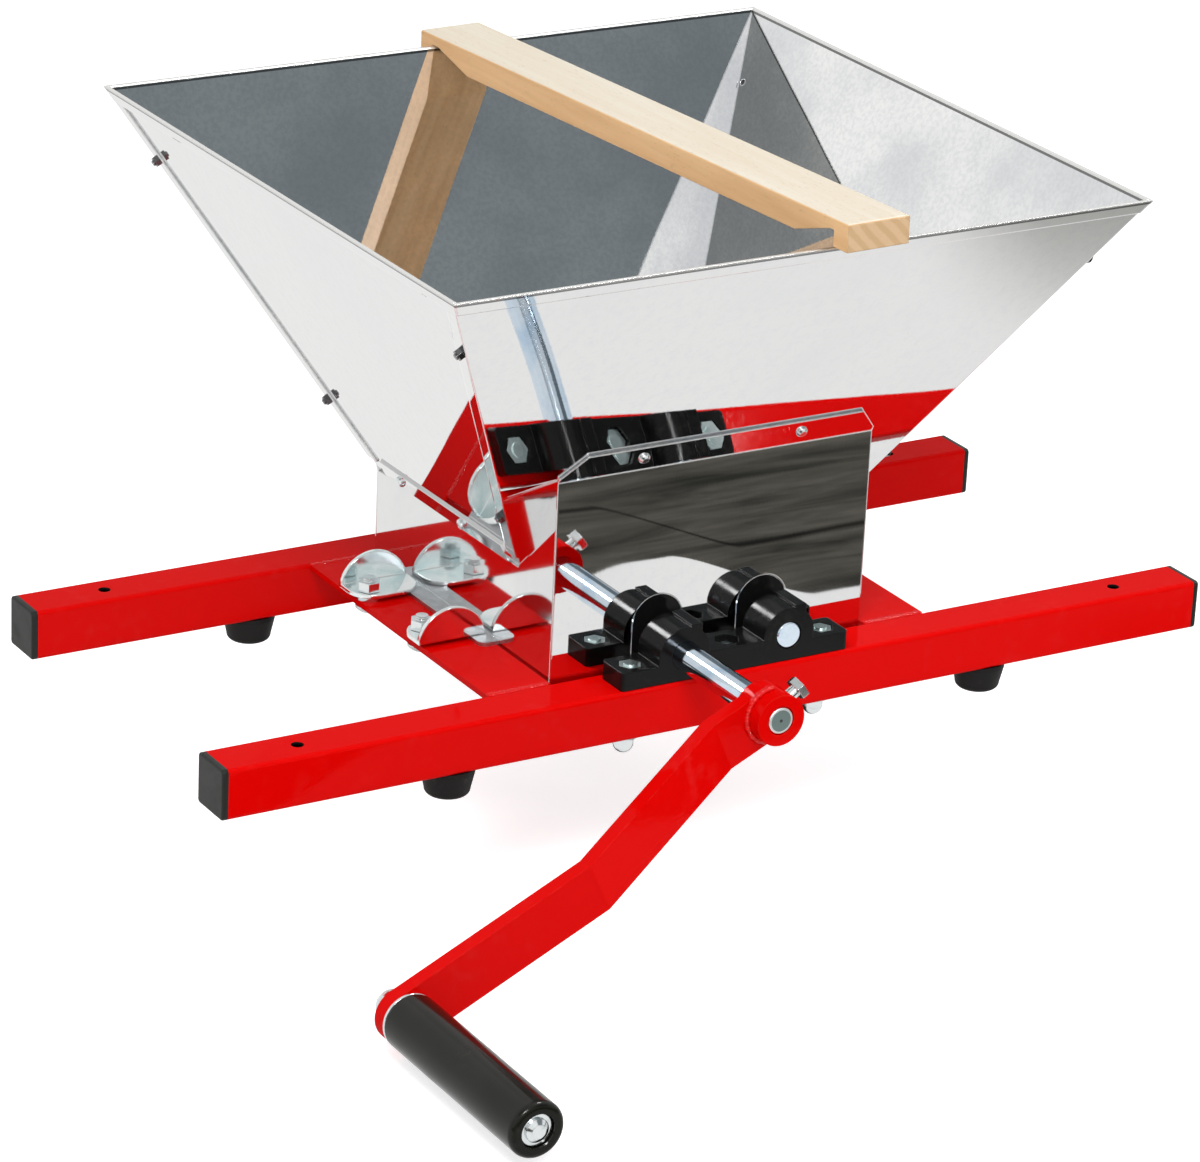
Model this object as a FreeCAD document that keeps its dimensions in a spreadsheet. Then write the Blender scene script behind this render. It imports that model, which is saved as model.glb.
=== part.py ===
# Two-shaft hand-cranked fruit mill: a sheet-steel hopper over a crushing chamber, carried
# by a red tube frame. Lengths are in millimetres, +Z is up, the crank stands towards -Y.
# The origin is the centre of the four bolt holes, on the top face of the two rails.
import FreeCAD, Part
import math
import os
import Sketcher

Vector = FreeCAD.Vector
Rotation = FreeCAD.Rotation

SIZES = {
    "overall_length": 544,
    "rail_side": 25,
    "rail_wall": 1.5,
    "rail_corner": 2,
    "rail_spacing": 203,
    "mount_hole_spacing": 456,
    "mount_hole_dia": 6,
    "cap_thickness": 3,
    "cap_plug_depth": 12,
    "cap_plug_wall": 1.5,
    "cap_clearance": 0.1,
    "bolt_clearance": 0.2,
    "seat_gap": 0.3,
    "plate_outer": 122,
    "plate_inner": 88,
    "plate_thickness": 3,
    "foot_spacing": 298,
    "foot_dia": 26,
    "foot_base_dia": 22,
    "foot_height": 14,
    "foot_edge": 3,
    "foot_rim": 2,
    "foot_recess_dia": 11,
    "foot_screw_dia": 5,
    "foot_screw_head": 2.2,
    "foot_screw_reach": 4,
    "sheet": 1.2,
    "side_gap": 1.2,
    "front_gap": 2.5,
    "back_gap": 1.5,
    "chamber_depth": 12,
    "throat_height": 45,
    "throat_front": 53,
    "rim_width": 372,
    "rim_depth": 350,
    "rim_centre": 16.5,
    "rim_height": 224,
    "hem_height": 7,
    "seam_flange": 9,
    "seam_screw_dia": 3,
    "seam_drill_length": 4,
    "screw_clearance": 0.1,
    "panel_flange": 14,
    "panel_flange_taper": 12,
    "panel_flange_relief": 2,
    "wall_flange": 9,
    "panel_screw_dia": 3,
    "panel_screw_spacing": 87,
    "tab_front": 38,
    "tab_back": 62,
    "tab_width": 10,
    "tab_thickness": 2,
    "tab_corner": 4.5,
    "shaft_dia": 14,
    "shaft_spacing": 58,
    "shaft_height": 13,
    "shaft_chamfer": 1,
    "running_clearance": 0.05,
    "panel_slot_width": 27.4,
    "panel_slot_rise": 7.5,
    "block_length": 126,
    "block_depth": 19.2,
    "block_offset": 1.4,
    "block_ear_height": 9.3,
    "block_web_height": 12.5,
    "block_arch_radius": 14,
    "block_rib_near": 3,
    "block_rib_far": 9,
    "block_rib_top": 14.8,
    "block_corner": 2,
    "block_bolt_spacing": 106.6,
    "block_bolt_dia": 6,
    "block_pocket_depth": 5,
    "block_pocket_gap": 0.5,
    "blade_dia": 80,
    "blade_root_dia": 54,
    "blade_thickness": 3,
    "blade_pitch": 22,
    "first_blade": -42,
    "spacer_dia": 24,
    "key_width": 4,
    "gear_thickness": 10,
    "gear_gap": 4,
    "gear_backlash": 0.3,
    "ring_thickness": 1.2,
    "ring_height": 2.5,
    "ring_groove": 1,
    "ring_opening": 4,
    "shaft_tail": 5,
    "hub_dia": 25,
    "hub_length": 20,
    "hub_front": 197,
    "set_bolt_dia": 6,
    "set_bolt_stand": 3.5,
    "arm_rest_angle": 25,
    "arm_width": 26,
    "arm_thickness": 7.7,
    "arm_setback": 8.6,
    "arm_straight": 28,
    "arm_bend_end": 120,
    "arm_joggle": 34.6,
    "crank_radius": 226,
    "grip_dia": 27,
    "grip_length": 113,
    "grip_recess": 3.5,
    "grip_edge": 1,
    "grip_round": 3,
    "grip_counterbore_dia": 16.4,
    "grip_bolt_dia": 8,
    "grip_head_height": 2.4,
    "grip_head_edge": 1,
    "bolt_chamfer": 0.8,
    "thread_end": 2,
    "washer_thickness": 1.6,
    "grip_washer_dia": 19.2,
    "grip_end_washer_dia": 15.2,
    "grip_end_play": 0.1,
    "clamp_pivot_x": 116,
    "clamp_centre_y": 12.5,
    "clamp_pivot_spacing": 53,
    "clamp_width": 36,
    "clamp_outer": 9,
    "clamp_crease": 14,
    "clamp_depth": 22,
    "clamp_sheet": 2,
    "clamp_corner": 13,
    "clamp_upright": 14.5,
    "clamp_bolt_dia": 6,
    "clamp_play": 0.2,
    "bar_width": 34,
    "bar_depth": 13.5,
    "bar_web": 5.5,
    "bar_lip": 11,
    "bar_shoulder": 28,
    "bar_notch": 6,
    "bar_near_flat": 3,
    "bar_edge_radius": 1.2,
    "bar_skew": 2.1,
    "bar_overlap": 1,
    "bar_centre_x": 26,
}

BLADES_PER_SHAFT = 6
HOOKS_PER_BLADE = 8
GEAR_TEETH = 29

# How far a cut runs past the face that it goes through.
OVERCUT = 1
# A hexagon's width across its flats and its thickness, for a thread of 1.
HEX_FLATS = 1.67
NUT_HEIGHT = 0.8

document = FreeCAD.newDocument("fruit_mill")
sheet_object = document.addObject("Spreadsheet::Sheet", "Sizes")
for row, (alias, number) in enumerate(SIZES.items(), start=1):
    cell = "A%d" % row
    sheet_object.set(cell, str(number))
    sheet_object.setAlias(cell, alias)
document.recompute()


class Size:
    """A length with its value and the sheet formula that it comes from."""

    def __init__(self, text, value):
        self.text = text
        self.value = float(value)

    def __add__(self, other):
        other = as_size(other)
        return Size("(%s + %s)" % (self.text, other.text), self.value + other.value)

    def __radd__(self, other):
        return as_size(other) + self

    def __sub__(self, other):
        other = as_size(other)
        return Size("(%s - %s)" % (self.text, other.text), self.value - other.value)

    def __rsub__(self, other):
        return as_size(other) - self

    def __mul__(self, other):
        other = as_size(other)
        return Size("(%s * %s)" % (self.text, other.text), self.value * other.value)

    def __rmul__(self, other):
        return as_size(other) * self

    def __truediv__(self, other):
        other = as_size(other)
        return Size("(%s / %s)" % (self.text, other.text), self.value / other.value)

    def __neg__(self):
        return as_size(0) - self


def as_size(number):
    if isinstance(number, Size):
        return number
    return Size(repr(float(number)), number)


def root(size):
    return Size("sqrt(%s)" % size.text, math.sqrt(size.value))


class Sheet:
    """Reads a driving dimension by its alias."""

    def __getattr__(self, alias):
        return Size("Sizes.%s" % alias, sheet_object.get(alias))


S = Sheet()
NODES = []


def keep(item, label):
    item.Label = label
    NODES.append(item)
    return item


def bind(item, path, size):
    item.setExpression(path, as_size(size).text)


def place(item, x=0, y=0, z=0, turn=Rotation()):
    x, y, z = as_size(x), as_size(y), as_size(z)
    item.Placement = FreeCAD.Placement(Vector(x.value, y.value, z.value), turn)
    for axis, size in zip("xyz", (x, y, z)):
        bind(item, "Placement.Base." + axis, size)
    return item


# The ways that a turned piece or a nut points, from its own +Z.
UP = Rotation()
FRONT = Rotation(Vector(1, 0, 0), 90)


def new_body(name):
    return document.addObject("PartDesign::Body", name)


def plane_of(body, role):
    for feature in body.Origin.OriginFeatures:
        if feature.Role == role:
            return feature


def new_sketch(body, role, offset=0):
    sketch = body.newObject("Sketcher::SketchObject", "outline")
    sketch.AttachmentSupport = (plane_of(body, role), "")
    sketch.MapMode = "FlatFace"
    offset = as_size(offset)
    sketch.AttachmentOffset = FreeCAD.Placement(Vector(0, 0, offset.value), Rotation())
    bind(sketch, "AttachmentOffset.Base.z", offset)
    return sketch


def constrain(sketch, kind, size, *where):
    size = as_size(size)
    index = sketch.addConstraint(Sketcher.Constraint(kind, *where, size.value))
    sketch.setExpression("Constraints[%d]" % index, size.text)


def draw_outline(sketch, points):
    """A closed outline. A point is (x, y), or (x, y, radius, side) when an arc of that
    radius ends there; side is +1 for a counter-clockwise arc and -1 for a clockwise one.
    A radius of None stands for a half circle."""
    points = [tuple(as_size(number) if place_in < 3 and number is not None else number
                    for place_in, number in enumerate(point)) for point in points]
    ends = []
    for index, point in enumerate(points):
        start = points[index - 1]
        first = Vector(start[0].value, start[1].value, 0)
        last = Vector(point[0].value, point[1].value, 0)
        if len(point) == 2:
            edge = sketch.addGeometry(Part.LineSegment(first, last), False)
            ends.append((edge, 1, 2))
        else:
            side = point[3]
            chord = last - first
            radius = chord.Length / 2 if point[2] is None else point[2].value
            height = math.sqrt(max(radius ** 2 - (chord.Length / 2) ** 2, 0.0))
            normal = Vector(-chord.y, chord.x, 0).normalize() * (height * side)
            centre = (first + last) * 0.5 + normal
            circle = Part.Circle(centre, Vector(0, 0, 1), radius)
            turn_first = math.atan2(first.y - centre.y, first.x - centre.x)
            turn_last = math.atan2(last.y - centre.y, last.x - centre.x)
            turns = (turn_first, turn_last) if side > 0 else (turn_last, turn_first)
            edge = sketch.addGeometry(Part.ArcOfCircle(circle, *turns), False)
            ends.append((edge, 1, 2) if side > 0 else (edge, 2, 1))
    for index, (edge, head, tail) in enumerate(ends):
        next_edge, next_head, next_tail = ends[(index + 1) % len(ends)]
        sketch.addConstraint(Sketcher.Constraint("Coincident", edge, tail, next_edge, next_head))
        constrain(sketch, "DistanceX", points[index][0], -1, 1, edge, tail)
        constrain(sketch, "DistanceY", points[index][1], -1, 1, edge, tail)
        if len(points[index]) == 2:
            continue
        if points[index][2] is not None:
            constrain(sketch, "Radius", points[index][2], edge)
        elif abs(points[index][1].value - points[index - 1][1].value) < 1e-9:
            constrain(sketch, "DistanceY", points[index][1], -1, 1, edge, 3)
        else:
            constrain(sketch, "DistanceX", points[index][0], -1, 1, edge, 3)


def draw_circle(sketch, x, y, radius):
    x, y, radius = as_size(x), as_size(y), as_size(radius)
    centre = Vector(x.value, y.value, 0)
    edge = sketch.addGeometry(Part.Circle(centre, Vector(0, 0, 1), radius.value), False)
    constrain(sketch, "DistanceX", x, -1, 1, edge, 3)
    constrain(sketch, "DistanceY", y, -1, 1, edge, 3)
    constrain(sketch, "Radius", radius, edge)


def rectangle(x0, y0, x1, y1):
    return [(x0, y0), (x1, y0), (x1, y1), (x0, y1)]


def pad(body, role, start, length, outlines=(), circles=()):
    """Fills the outlines from start to start + length along the axis square to the plane."""
    start, length = as_size(start), as_size(length)
    offset = -(start + length) if role == "XZ_Plane" else start
    sketch = new_sketch(body, role, offset)
    for outline in outlines:
        draw_outline(sketch, outline)
    for circle in circles:
        draw_circle(sketch, *circle)
    feature = body.newObject("PartDesign::Pad", "pad")
    feature.Profile = sketch
    feature.Length = length.value
    bind(feature, "Length", length)
    return feature


def pocket(body, role, start, length, outlines=(), circles=()):
    """Cuts the outlines from start to start + length along the axis square to the plane."""
    start, length = as_size(start), as_size(length)
    offset = -start if role == "XZ_Plane" else start + length
    sketch = new_sketch(body, role, offset)
    for outline in outlines:
        draw_outline(sketch, outline)
    for circle in circles:
        draw_circle(sketch, *circle)
    document.recompute()
    before = body.Shape.Volume
    feature = body.newObject("PartDesign::Pocket", "pocket")
    feature.Profile = sketch
    feature.Length = length.value
    bind(feature, "Length", length)
    document.recompute()
    if not body.Shape.Volume < before:
        raise RuntimeError("a pocket in %s cuts nothing" % body.Name)
    return feature


def revolve(body, outline):
    """Turns an outline of (radius, height) points about the body's own Z axis."""
    sketch = new_sketch(body, "XZ_Plane")
    draw_outline(sketch, outline)
    feature = body.newObject("PartDesign::Revolution", "revolution")
    feature.Profile = sketch
    feature.ReferenceAxis = (sketch, ["V_Axis"])
    feature.Angle = 360
    return feature


def loft(body, lower_z, lower, upper_z, upper):
    sketches = []
    for height, outline in ((lower_z, lower), (upper_z, upper)):
        sketch = new_sketch(body, "XY_Plane", height)
        draw_outline(sketch, outline)
        sketches.append(sketch)
    feature = body.newObject("PartDesign::AdditiveLoft", "loft")
    feature.Profile = sketches[0]
    feature.Sections = [sketches[1]]
    feature.Ruled = True
    return feature


def round_edges(body, radius, wanted, kind="Fillet"):
    """Fillets or chamfers the edges of the body's last feature that wanted() picks."""
    document.recompute()
    tip = body.Tip
    names = ["Edge%d" % (index + 1) for index, edge in enumerate(tip.Shape.Edges) if wanted(edge)]
    if not names:
        raise RuntimeError("no edge to round on " + body.Name)
    feature = body.newObject("PartDesign::" + kind, kind.lower())
    feature.Base = (tip, names)
    size_name = "Radius" if kind == "Fillet" else "Size"
    bind(feature, size_name, radius)
    return feature


def runs_along(edge, direction):
    if not isinstance(edge.Curve, Part.Line):
        return False
    return abs(abs(edge.Curve.Direction.dot(direction)) - 1) < 1e-6


def turned(name, outline, x=0, y=0, z=0, turn=UP):
    body = new_body(name)
    revolve(body, outline)
    return place(body, x, y, z, turn)


def cylinder(name, radius, height, x=0, y=0, z=0, turn=UP):
    item = document.addObject("Part::Cylinder", name)
    bind(item, "Radius", radius)
    bind(item, "Height", height)
    return place(item, x, y, z, turn)


def block(name, length, width, height, x=0, y=0, z=0):
    item = document.addObject("Part::Box", name)
    bind(item, "Length", length)
    bind(item, "Width", width)
    bind(item, "Height", height)
    return place(item, x, y, z)


def gather(name, items):
    item = document.addObject("Part::Compound", name)
    item.Links = items
    return item


def cut_away(name, base, tools):
    item = document.addObject("Part::Cut", name)
    item.Base = base
    item.Tool = tools[0] if len(tools) == 1 else gather(name + "_tools", tools)
    return item


def hexagon(x, y, across_flats):
    corner = across_flats / math.sqrt(3)
    return [(x + corner * math.cos(math.radians(60 * k)),
             y + corner * math.sin(math.radians(60 * k))) for k in range(6)]


def hex_nut(name, thread, x, y, z, turn):
    prism = document.addObject("Part::Prism", name + "_blank")
    prism.Polygon = 6
    bind(prism, "Circumradius", thread * HEX_FLATS / math.sqrt(3))
    bind(prism, "Height", thread * NUT_HEIGHT)
    place(prism, x, y, z, turn)
    hole = cylinder(name + "_hole", thread / 2, thread * NUT_HEIGHT, x, y, z, turn)
    return cut_away(name, prism, [hole])


def domed_bolt(name, thread, under, top, x, y):
    """An upright bolt whose domed head hangs below the level under."""
    radius = thread / 2
    head = radius * 2.2
    edge = radius * 0.5
    rise = radius
    dome = (head * head + rise * rise) / (2 * rise)
    outline = [
        (0, under - edge - rise),
        (head, under - edge, dome, 1),
        (head, under),
        (radius, under),
        (radius, top),
        (0, top),
    ]
    return turned(name, outline, x, y, 0)


# Places that several pieces share.
rail_length = S.overall_length - 2 * S.cap_thickness
rail_y = S.rail_spacing / 2
rail_inner = rail_y - S.rail_side / 2
rail_outer = rail_y + S.rail_side / 2
chamber_side = S.plate_inner - S.side_gap
chamber_side_inner = chamber_side - S.sheet
panel_front = rail_inner - S.front_gap
panel_front_inner = panel_front - S.sheet
panel_back = rail_inner - S.back_gap
panel_back_inner = panel_back - S.sheet
rim_x = S.rim_width / 2
rim_front = S.rim_depth / 2 - S.rim_centre
rim_back = S.rim_depth / 2 + S.rim_centre
hopper_height = S.rim_height - S.throat_height
front_slope = (rim_front - S.throat_front) / hopper_height
back_slope = (rim_back - panel_back_inner) / hopper_height
side_slope = (rim_x - chamber_side_inner) / hopper_height
shaft_x = S.shaft_spacing / 2
shaft_radius = S.shaft_dia / 2
block_y = rail_y + S.block_offset
block_front = block_y + S.block_depth / 2
gear_start = block_front + S.gear_gap
gear_end = gear_start + S.gear_thickness
ring_end = gear_end + S.ring_thickness
shaft_back = ring_end + S.shaft_tail
bolt_xs = (-(S.block_bolt_spacing / 2), as_size(0), S.block_bolt_spacing / 2)
clamp_level = S.tab_thickness + S.clamp_play


def rim_seam(height, side, end):
    """The corner of the hopper's outside at a height: side is -1 left, +1 right; end is
    -1 front, +1 back."""
    rise = as_size(height) - S.throat_height
    x = chamber_side_inner + side_slope * rise
    if end < 0:
        y = S.throat_front + front_slope * rise
    else:
        y = panel_back_inner + back_slope * rise
    return side * x, end * y


# Rails: square steel tube along X, drilled for the mount, the feet and the block bolts.
def make_rail(label, end):
    body = new_body(label)
    half = S.rail_side / 2
    inside = half - S.rail_wall
    y = end * rail_y
    length = rail_length
    outer = rectangle(y - half, -S.rail_side, y + half, 0)
    inner = rectangle(y - inside, S.rail_wall - S.rail_side, y + inside, -S.rail_wall)
    pad(body, "YZ_Plane", -(length / 2), length, [outer])
    round_edges(body, S.rail_corner, lambda edge: runs_along(edge, Vector(1, 0, 0)))
    pocket(body, "YZ_Plane", -(length / 2), length, [inner])
    mounts = [(side * S.mount_hole_spacing / 2, y, S.mount_hole_dia / 2) for side in (-1, 1)]
    bolts = [(x, end * block_y, S.block_bolt_dia / 2 + S.bolt_clearance) for x in bolt_xs]
    pocket(body, "XY_Plane", -S.rail_side - OVERCUT, S.rail_side + 2 * OVERCUT,
           circles=mounts + bolts)
    feet = [(side * S.foot_spacing / 2, y, S.foot_screw_dia / 2) for side in (-1, 1)]
    pocket(body, "XY_Plane", -S.rail_side - OVERCUT, S.rail_wall + 2 * OVERCUT, circles=feet)
    keep(body, label)


# End caps: a plastic cover as wide as the tube, with a hollow plug that grips inside it.
def make_cap(label, side, end):
    body = new_body(label)
    half = S.rail_side / 2
    plug = half - S.rail_wall - S.cap_clearance
    end_x = rail_length / 2
    y = end * rail_y
    middle = -half
    cover = rectangle(y - half, middle - half, y + half, middle + half)
    pad(body, "YZ_Plane", 0, S.cap_thickness, [cover])
    round_edges(body, S.rail_corner, lambda edge: runs_along(edge, Vector(1, 0, 0)))
    tip_x = S.cap_thickness.value

    def on_face(edge):
        return all(abs(vertex.Point.x - tip_x) < 1e-6 for vertex in edge.Vertexes)

    round_edges(body, S.cap_thickness / 3, on_face)
    plug_ring = rectangle(y - plug, middle - plug, y + plug, middle + plug)
    hollow = plug - S.cap_plug_wall
    plug_hole = rectangle(y - hollow, middle - hollow, y + hollow, middle + hollow)
    pad(body, "YZ_Plane", -S.cap_plug_depth, S.cap_plug_depth, [plug_ring, plug_hole])
    if side > 0:
        place(body, x=end_x)
    else:
        # The left cap is the right one turned half round about Z.
        place(body, x=-end_x, turn=Rotation(Vector(0, 0, 1), 180))
        bind(body, "Placement.Base.y", 2 * y)
    keep(body, label)


# Cross plates: flat bars welded between the rails, flush with their tops, drilled for the
# clamp bolts.
def make_cross_plate(label, side):
    body = new_body(label)
    inner, outer = side * S.plate_inner, side * S.plate_outer
    first, last = (outer, inner) if side < 0 else (inner, outer)
    outline = rectangle(first, -rail_inner, last, rail_inner)
    pad(body, "XY_Plane", -S.plate_thickness, S.plate_thickness, [outline])
    holes = [(side * S.clamp_pivot_x, S.clamp_centre_y + step * S.clamp_pivot_spacing / 2,
              S.clamp_bolt_dia / 2 + S.bolt_clearance) for step in (-1, 1)]
    pocket(body, "XY_Plane", -S.plate_thickness - OVERCUT, S.plate_thickness + 2 * OVERCUT,
           circles=holes)
    keep(body, label)


# Feet: tapered rubber buttons with a rounded foot edge and a sunk screw.
def make_foot(label, side, end):
    screw = S.foot_screw_dia / 2
    top, base = S.foot_dia / 2, S.foot_base_dia / 2
    outline = [
        (screw, 0),
        (screw, S.foot_edge - S.foot_height),
        (S.foot_recess_dia / 2, S.foot_edge - S.foot_height),
        (S.foot_recess_dia / 2, -S.foot_height),
        (base - S.foot_edge, -S.foot_height),
        (base, S.foot_edge - S.foot_height, S.foot_edge, 1),
        (top, -S.foot_rim),
        (top, 0),
    ]
    body = turned(label, outline, side * S.foot_spacing / 2, end * rail_y, -S.rail_side)
    keep(body, label)


def make_foot_screws():
    screw = S.foot_screw_dia / 2
    head_z = S.foot_edge - S.foot_height
    outline = [
        (0, head_z - S.foot_screw_head),
        (screw * 1.2, head_z - S.foot_screw_head),
        (screw * 2, head_z - S.foot_screw_head / 4),
        (screw * 2, head_z),
        (screw, head_z),
        (screw, S.rail_wall + S.foot_screw_reach),
        (0, S.rail_wall + S.foot_screw_reach),
    ]
    screws = [turned("foot_screw", outline, side * S.foot_spacing / 2, end * rail_y, -S.rail_side)
              for side in (-1, 1) for end in (-1, 1)]
    keep(gather("foot_screws", screws), "foot_screws")


# Seam screws: a stud pressed flush into the side wall, with its nut outside on the strip of
# the neighbour that lies there, near the top and near the bottom of every seam.
SEAM_SCREW_HEIGHTS = (0.82, 0.20)
CORNERS = ((-1, -1), (1, -1), (-1, 1), (1, 1))
# A length across a side wall's sheet, for a length of 1 along X.
side_lean = as_size(1) / root(1 + side_slope * side_slope)


def side_normal(side):
    return Vector(side, 0, -side_slope.value)


def seam_point(side, end, share, out):
    """A point on a seam screw's axis, out beyond the side wall's outer face."""
    height = S.throat_height + hopper_height * share
    x, y = rim_seam(height, side, end)
    along = as_size(out) * side_lean
    return x + side * along, y - end * S.seam_flange / 2, height - side_slope * along


def seam_drills(side, end):
    """Two drills through the sheets of one corner."""
    turn = Rotation(Vector(0, 0, 1), side_normal(side)) * Rotation(Vector(0, 0, 1), 90)
    length = S.seam_drill_length
    radius = S.seam_screw_dia / 2 + S.screw_clearance
    points = [seam_point(side, end, share, -(length / 2)) for share in SEAM_SCREW_HEIGHTS]
    return [cylinder("seam_drill", radius, length, *point, turn) for point in points]


def make_seam_fasteners():
    screws, nuts = [], []
    radius = S.seam_screw_dia / 2
    skin = S.sheet * side_lean
    tip = skin + S.seam_screw_dia * NUT_HEIGHT + S.thread_end / 2
    outline = rectangle(0, -skin, radius, tip)
    for side, end in CORNERS:
        turn = Rotation(Vector(0, 0, 1), side_normal(side))
        for share in SEAM_SCREW_HEIGHTS:
            screws.append(turned("seam_screw", outline, *seam_point(side, end, share, 0), turn))
            nuts.append(hex_nut("seam_nut", S.seam_screw_dia,
                                *seam_point(side, end, share, skin), turn))
    keep(gather("seam_screws", screws), "seam_screws")
    keep(gather("seam_nuts", nuts), "seam_nuts")


# Hopper walls: four sloping sheets with a folded hem along the rim. The front and back
# walls wrap round the corners, and a strip of them lies on each side wall's outer face.
def wall_outline(direction, half, reach):
    """The section of a wall at one height. direction turns the front wall's outline to
    another side. The side walls end against the front and back walls."""
    t = S.sheet
    end = half if direction in ("front", "back") else half - t
    points = [(-end, t - reach), (end, t - reach), (end, -reach), (-end, -reach)]
    return [turn_point(direction, x, y) for x, y in points]


def hem_outline(direction, half, reach):
    t = S.sheet
    points = [(-half, -reach), (half, -reach), (half + t, -reach - t), (-half - t, -reach - t)]
    return [turn_point(direction, x, y) for x, y in points]


def flange_outline(direction, half, reach, hand):
    """The strip at one corner that lies on the side wall."""
    points = rectangle(half, -reach, half + S.sheet, S.seam_flange - reach)
    return [turn_point(direction, hand * x, y) for x, y in points]


def turn_point(direction, x, y):
    if direction == "front":
        return x, y
    if direction == "back":
        return -x, -y
    if direction == "left":
        return y, -x
    return -y, x


def make_hopper_wall(label, direction):
    body = new_body(label)
    end = {"front": -1, "back": 1}.get(direction)
    side = {"left": -1, "right": 1}.get(direction)

    def extents(height):
        """Half the width between the corners and the distance out, about the hopper's own
        middle at that height."""
        x, front = rim_seam(height, 1, -1)
        back = rim_seam(height, 1, 1)[1]
        front = -front
        if direction == "front":
            return x, front, as_size(0)
        if direction == "back":
            return x, back, as_size(0)
        return (front + back) / 2, x, (back - front) / 2

    def outline(maker, height, *more):
        half, reach, shift = extents(height)
        points = maker(direction, half, reach, *more)
        return [(x, y + shift) for x, y in points]

    bottom, top = S.throat_height, S.rim_height
    loft(body, bottom, outline(wall_outline, bottom), top, outline(wall_outline, top))
    hem = top - S.hem_height
    loft(body, hem, outline(hem_outline, hem), top, outline(hem_outline, top))
    low = bottom + S.hem_height
    for hand in (-1, 1) if end else ():
        loft(body, low, outline(flange_outline, low, hand),
             hem, outline(flange_outline, hem, hand))
    ends = (end,) if end else (-1, 1)
    sides = (side,) if side else (-1, 1)
    tools = [drill for some_side in sides for some_end in ends
             for drill in seam_drills(some_side, some_end)]
    body.Label = label + "_sheet"
    keep(cut_away(label, body, tools), label)


# Chamber panels: the front and back sheets hang through the frame and bend at the top to
# lie on the hopper wall. Both shafts pass through them.
def make_chamber_panel(label, end):
    body = new_body(label)
    front = end < 0
    inner = panel_front_inner if front else panel_back_inner
    outer = panel_front if front else panel_back
    slope = front_slope if front else back_slope
    throat = S.throat_front if front else panel_back_inner
    lean = S.sheet * root(1 + slope * slope)
    bend_inner = S.throat_height + (inner - throat) / slope
    bend_outer = S.throat_height + (outer - lean - throat) / slope
    top = bend_inner + S.panel_flange
    top_y = throat + slope * (top - S.throat_height)
    profile = [(end * outer, -S.chamber_depth), (end * inner, -S.chamber_depth),
               (end * inner, bend_inner), (end * top_y, top),
               (end * (top_y + lean), top), (end * outer, bend_outer)]
    if not front:
        profile.reverse()
    pad(body, "YZ_Plane", -chamber_side, 2 * chamber_side, [profile])
    reach = outer + S.panel_flange * 2
    start = -reach if front else outer - S.sheet
    taper = S.panel_flange_taper
    for side in (-1, 1):
        relief = bend_inner + S.panel_flange_relief
        corner = [(side * (chamber_side - taper), top + OVERCUT),
                  (side * (chamber_side + OVERCUT), top + OVERCUT),
                  (side * (chamber_side + OVERCUT), relief),
                  (side * chamber_side, relief)]
        pocket(body, "XZ_Plane", start, reach - outer + S.sheet, [corner])
    half = S.panel_slot_width / 2
    arch = S.shaft_height + S.panel_slot_rise
    bottom = -S.chamber_depth - OVERCUT
    first_face = -outer if front else inner
    for x in (-shaft_x, shaft_x):
        # The sheet can be lifted off over the shaft.
        slot = [(x - half, bottom), (x + half, bottom), (x + half, arch), (x - half, arch, None, 1)]
        pocket(body, "XZ_Plane", first_face - OVERCUT, S.sheet + 2 * OVERCUT, [slot])
    keep(body, label)


# Chamber side walls: flat sheets under the hopper with a flange that lies on the hopper's
# side and a tab at the foot for the clamps.
def make_chamber_wall(label, side):
    body = new_body(label)
    t = S.sheet
    bend_z = S.throat_height + (panel_front_inner - S.throat_front) / front_slope
    wall = [(-panel_front_inner, -S.chamber_depth), (panel_back_inner, -S.chamber_depth),
            (panel_back_inner, S.throat_height), (-S.throat_front, S.throat_height),
            (-panel_front_inner, bend_z)]
    start = chamber_side_inner if side > 0 else -chamber_side
    pad(body, "YZ_Plane", start, t, [wall])
    lean = t * root(1 + side_slope * side_slope)
    rise = S.wall_flange
    out = side_slope * rise
    rooted = S.throat_height - t
    strip = [(side * chamber_side_inner, rooted),
             (side * chamber_side_inner, S.throat_height),
             (side * (chamber_side_inner + out), S.throat_height + rise),
             (side * (chamber_side_inner + out + lean), S.throat_height + rise),
             (side * chamber_side, S.throat_height + (t - lean) / side_slope),
             (side * chamber_side, rooted)]
    flange_start = -S.throat_front + S.wall_flange
    flange_length = S.throat_front + panel_back_inner - 2 * S.wall_flange
    pad(body, "XZ_Plane", flange_start, flange_length, [strip])
    near, far = side * chamber_side, side * (chamber_side + S.tab_width)
    first, last = (far, near) if side < 0 else (near, far)
    tab = rectangle(first, -S.tab_front, last, S.tab_back)
    pad(body, "XY_Plane", 0, S.tab_thickness, [tab])

    def tab_corner(edge):
        point = edge.CenterOfMass
        return runs_along(edge, Vector(0, 0, 1)) and abs(point.x - far.value) < 1e-6

    round_edges(body, S.tab_corner, tab_corner)
    keep(body, label)


# Panel screws: pan heads on the flanges of the chamber's four sheets.
def panel_screw(x, y, z, direction):
    radius = S.panel_screw_dia / 2
    outline = [
        (0, -S.sheet * 2 - radius * 0.8),
        (radius, -S.sheet * 2 - radius * 0.8),
        (radius, 0),
        (radius * 1.9, 0),
        (radius * 1.9, radius * 0.5),
        (radius * 1.2, radius * 1.2),
        (0, radius * 1.2),
    ]
    return turned("panel_screw", outline, x, y, z, Rotation(Vector(0, 0, 1), direction))


WALL_SCREW_SHARES = (0.36, 0.80)


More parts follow.
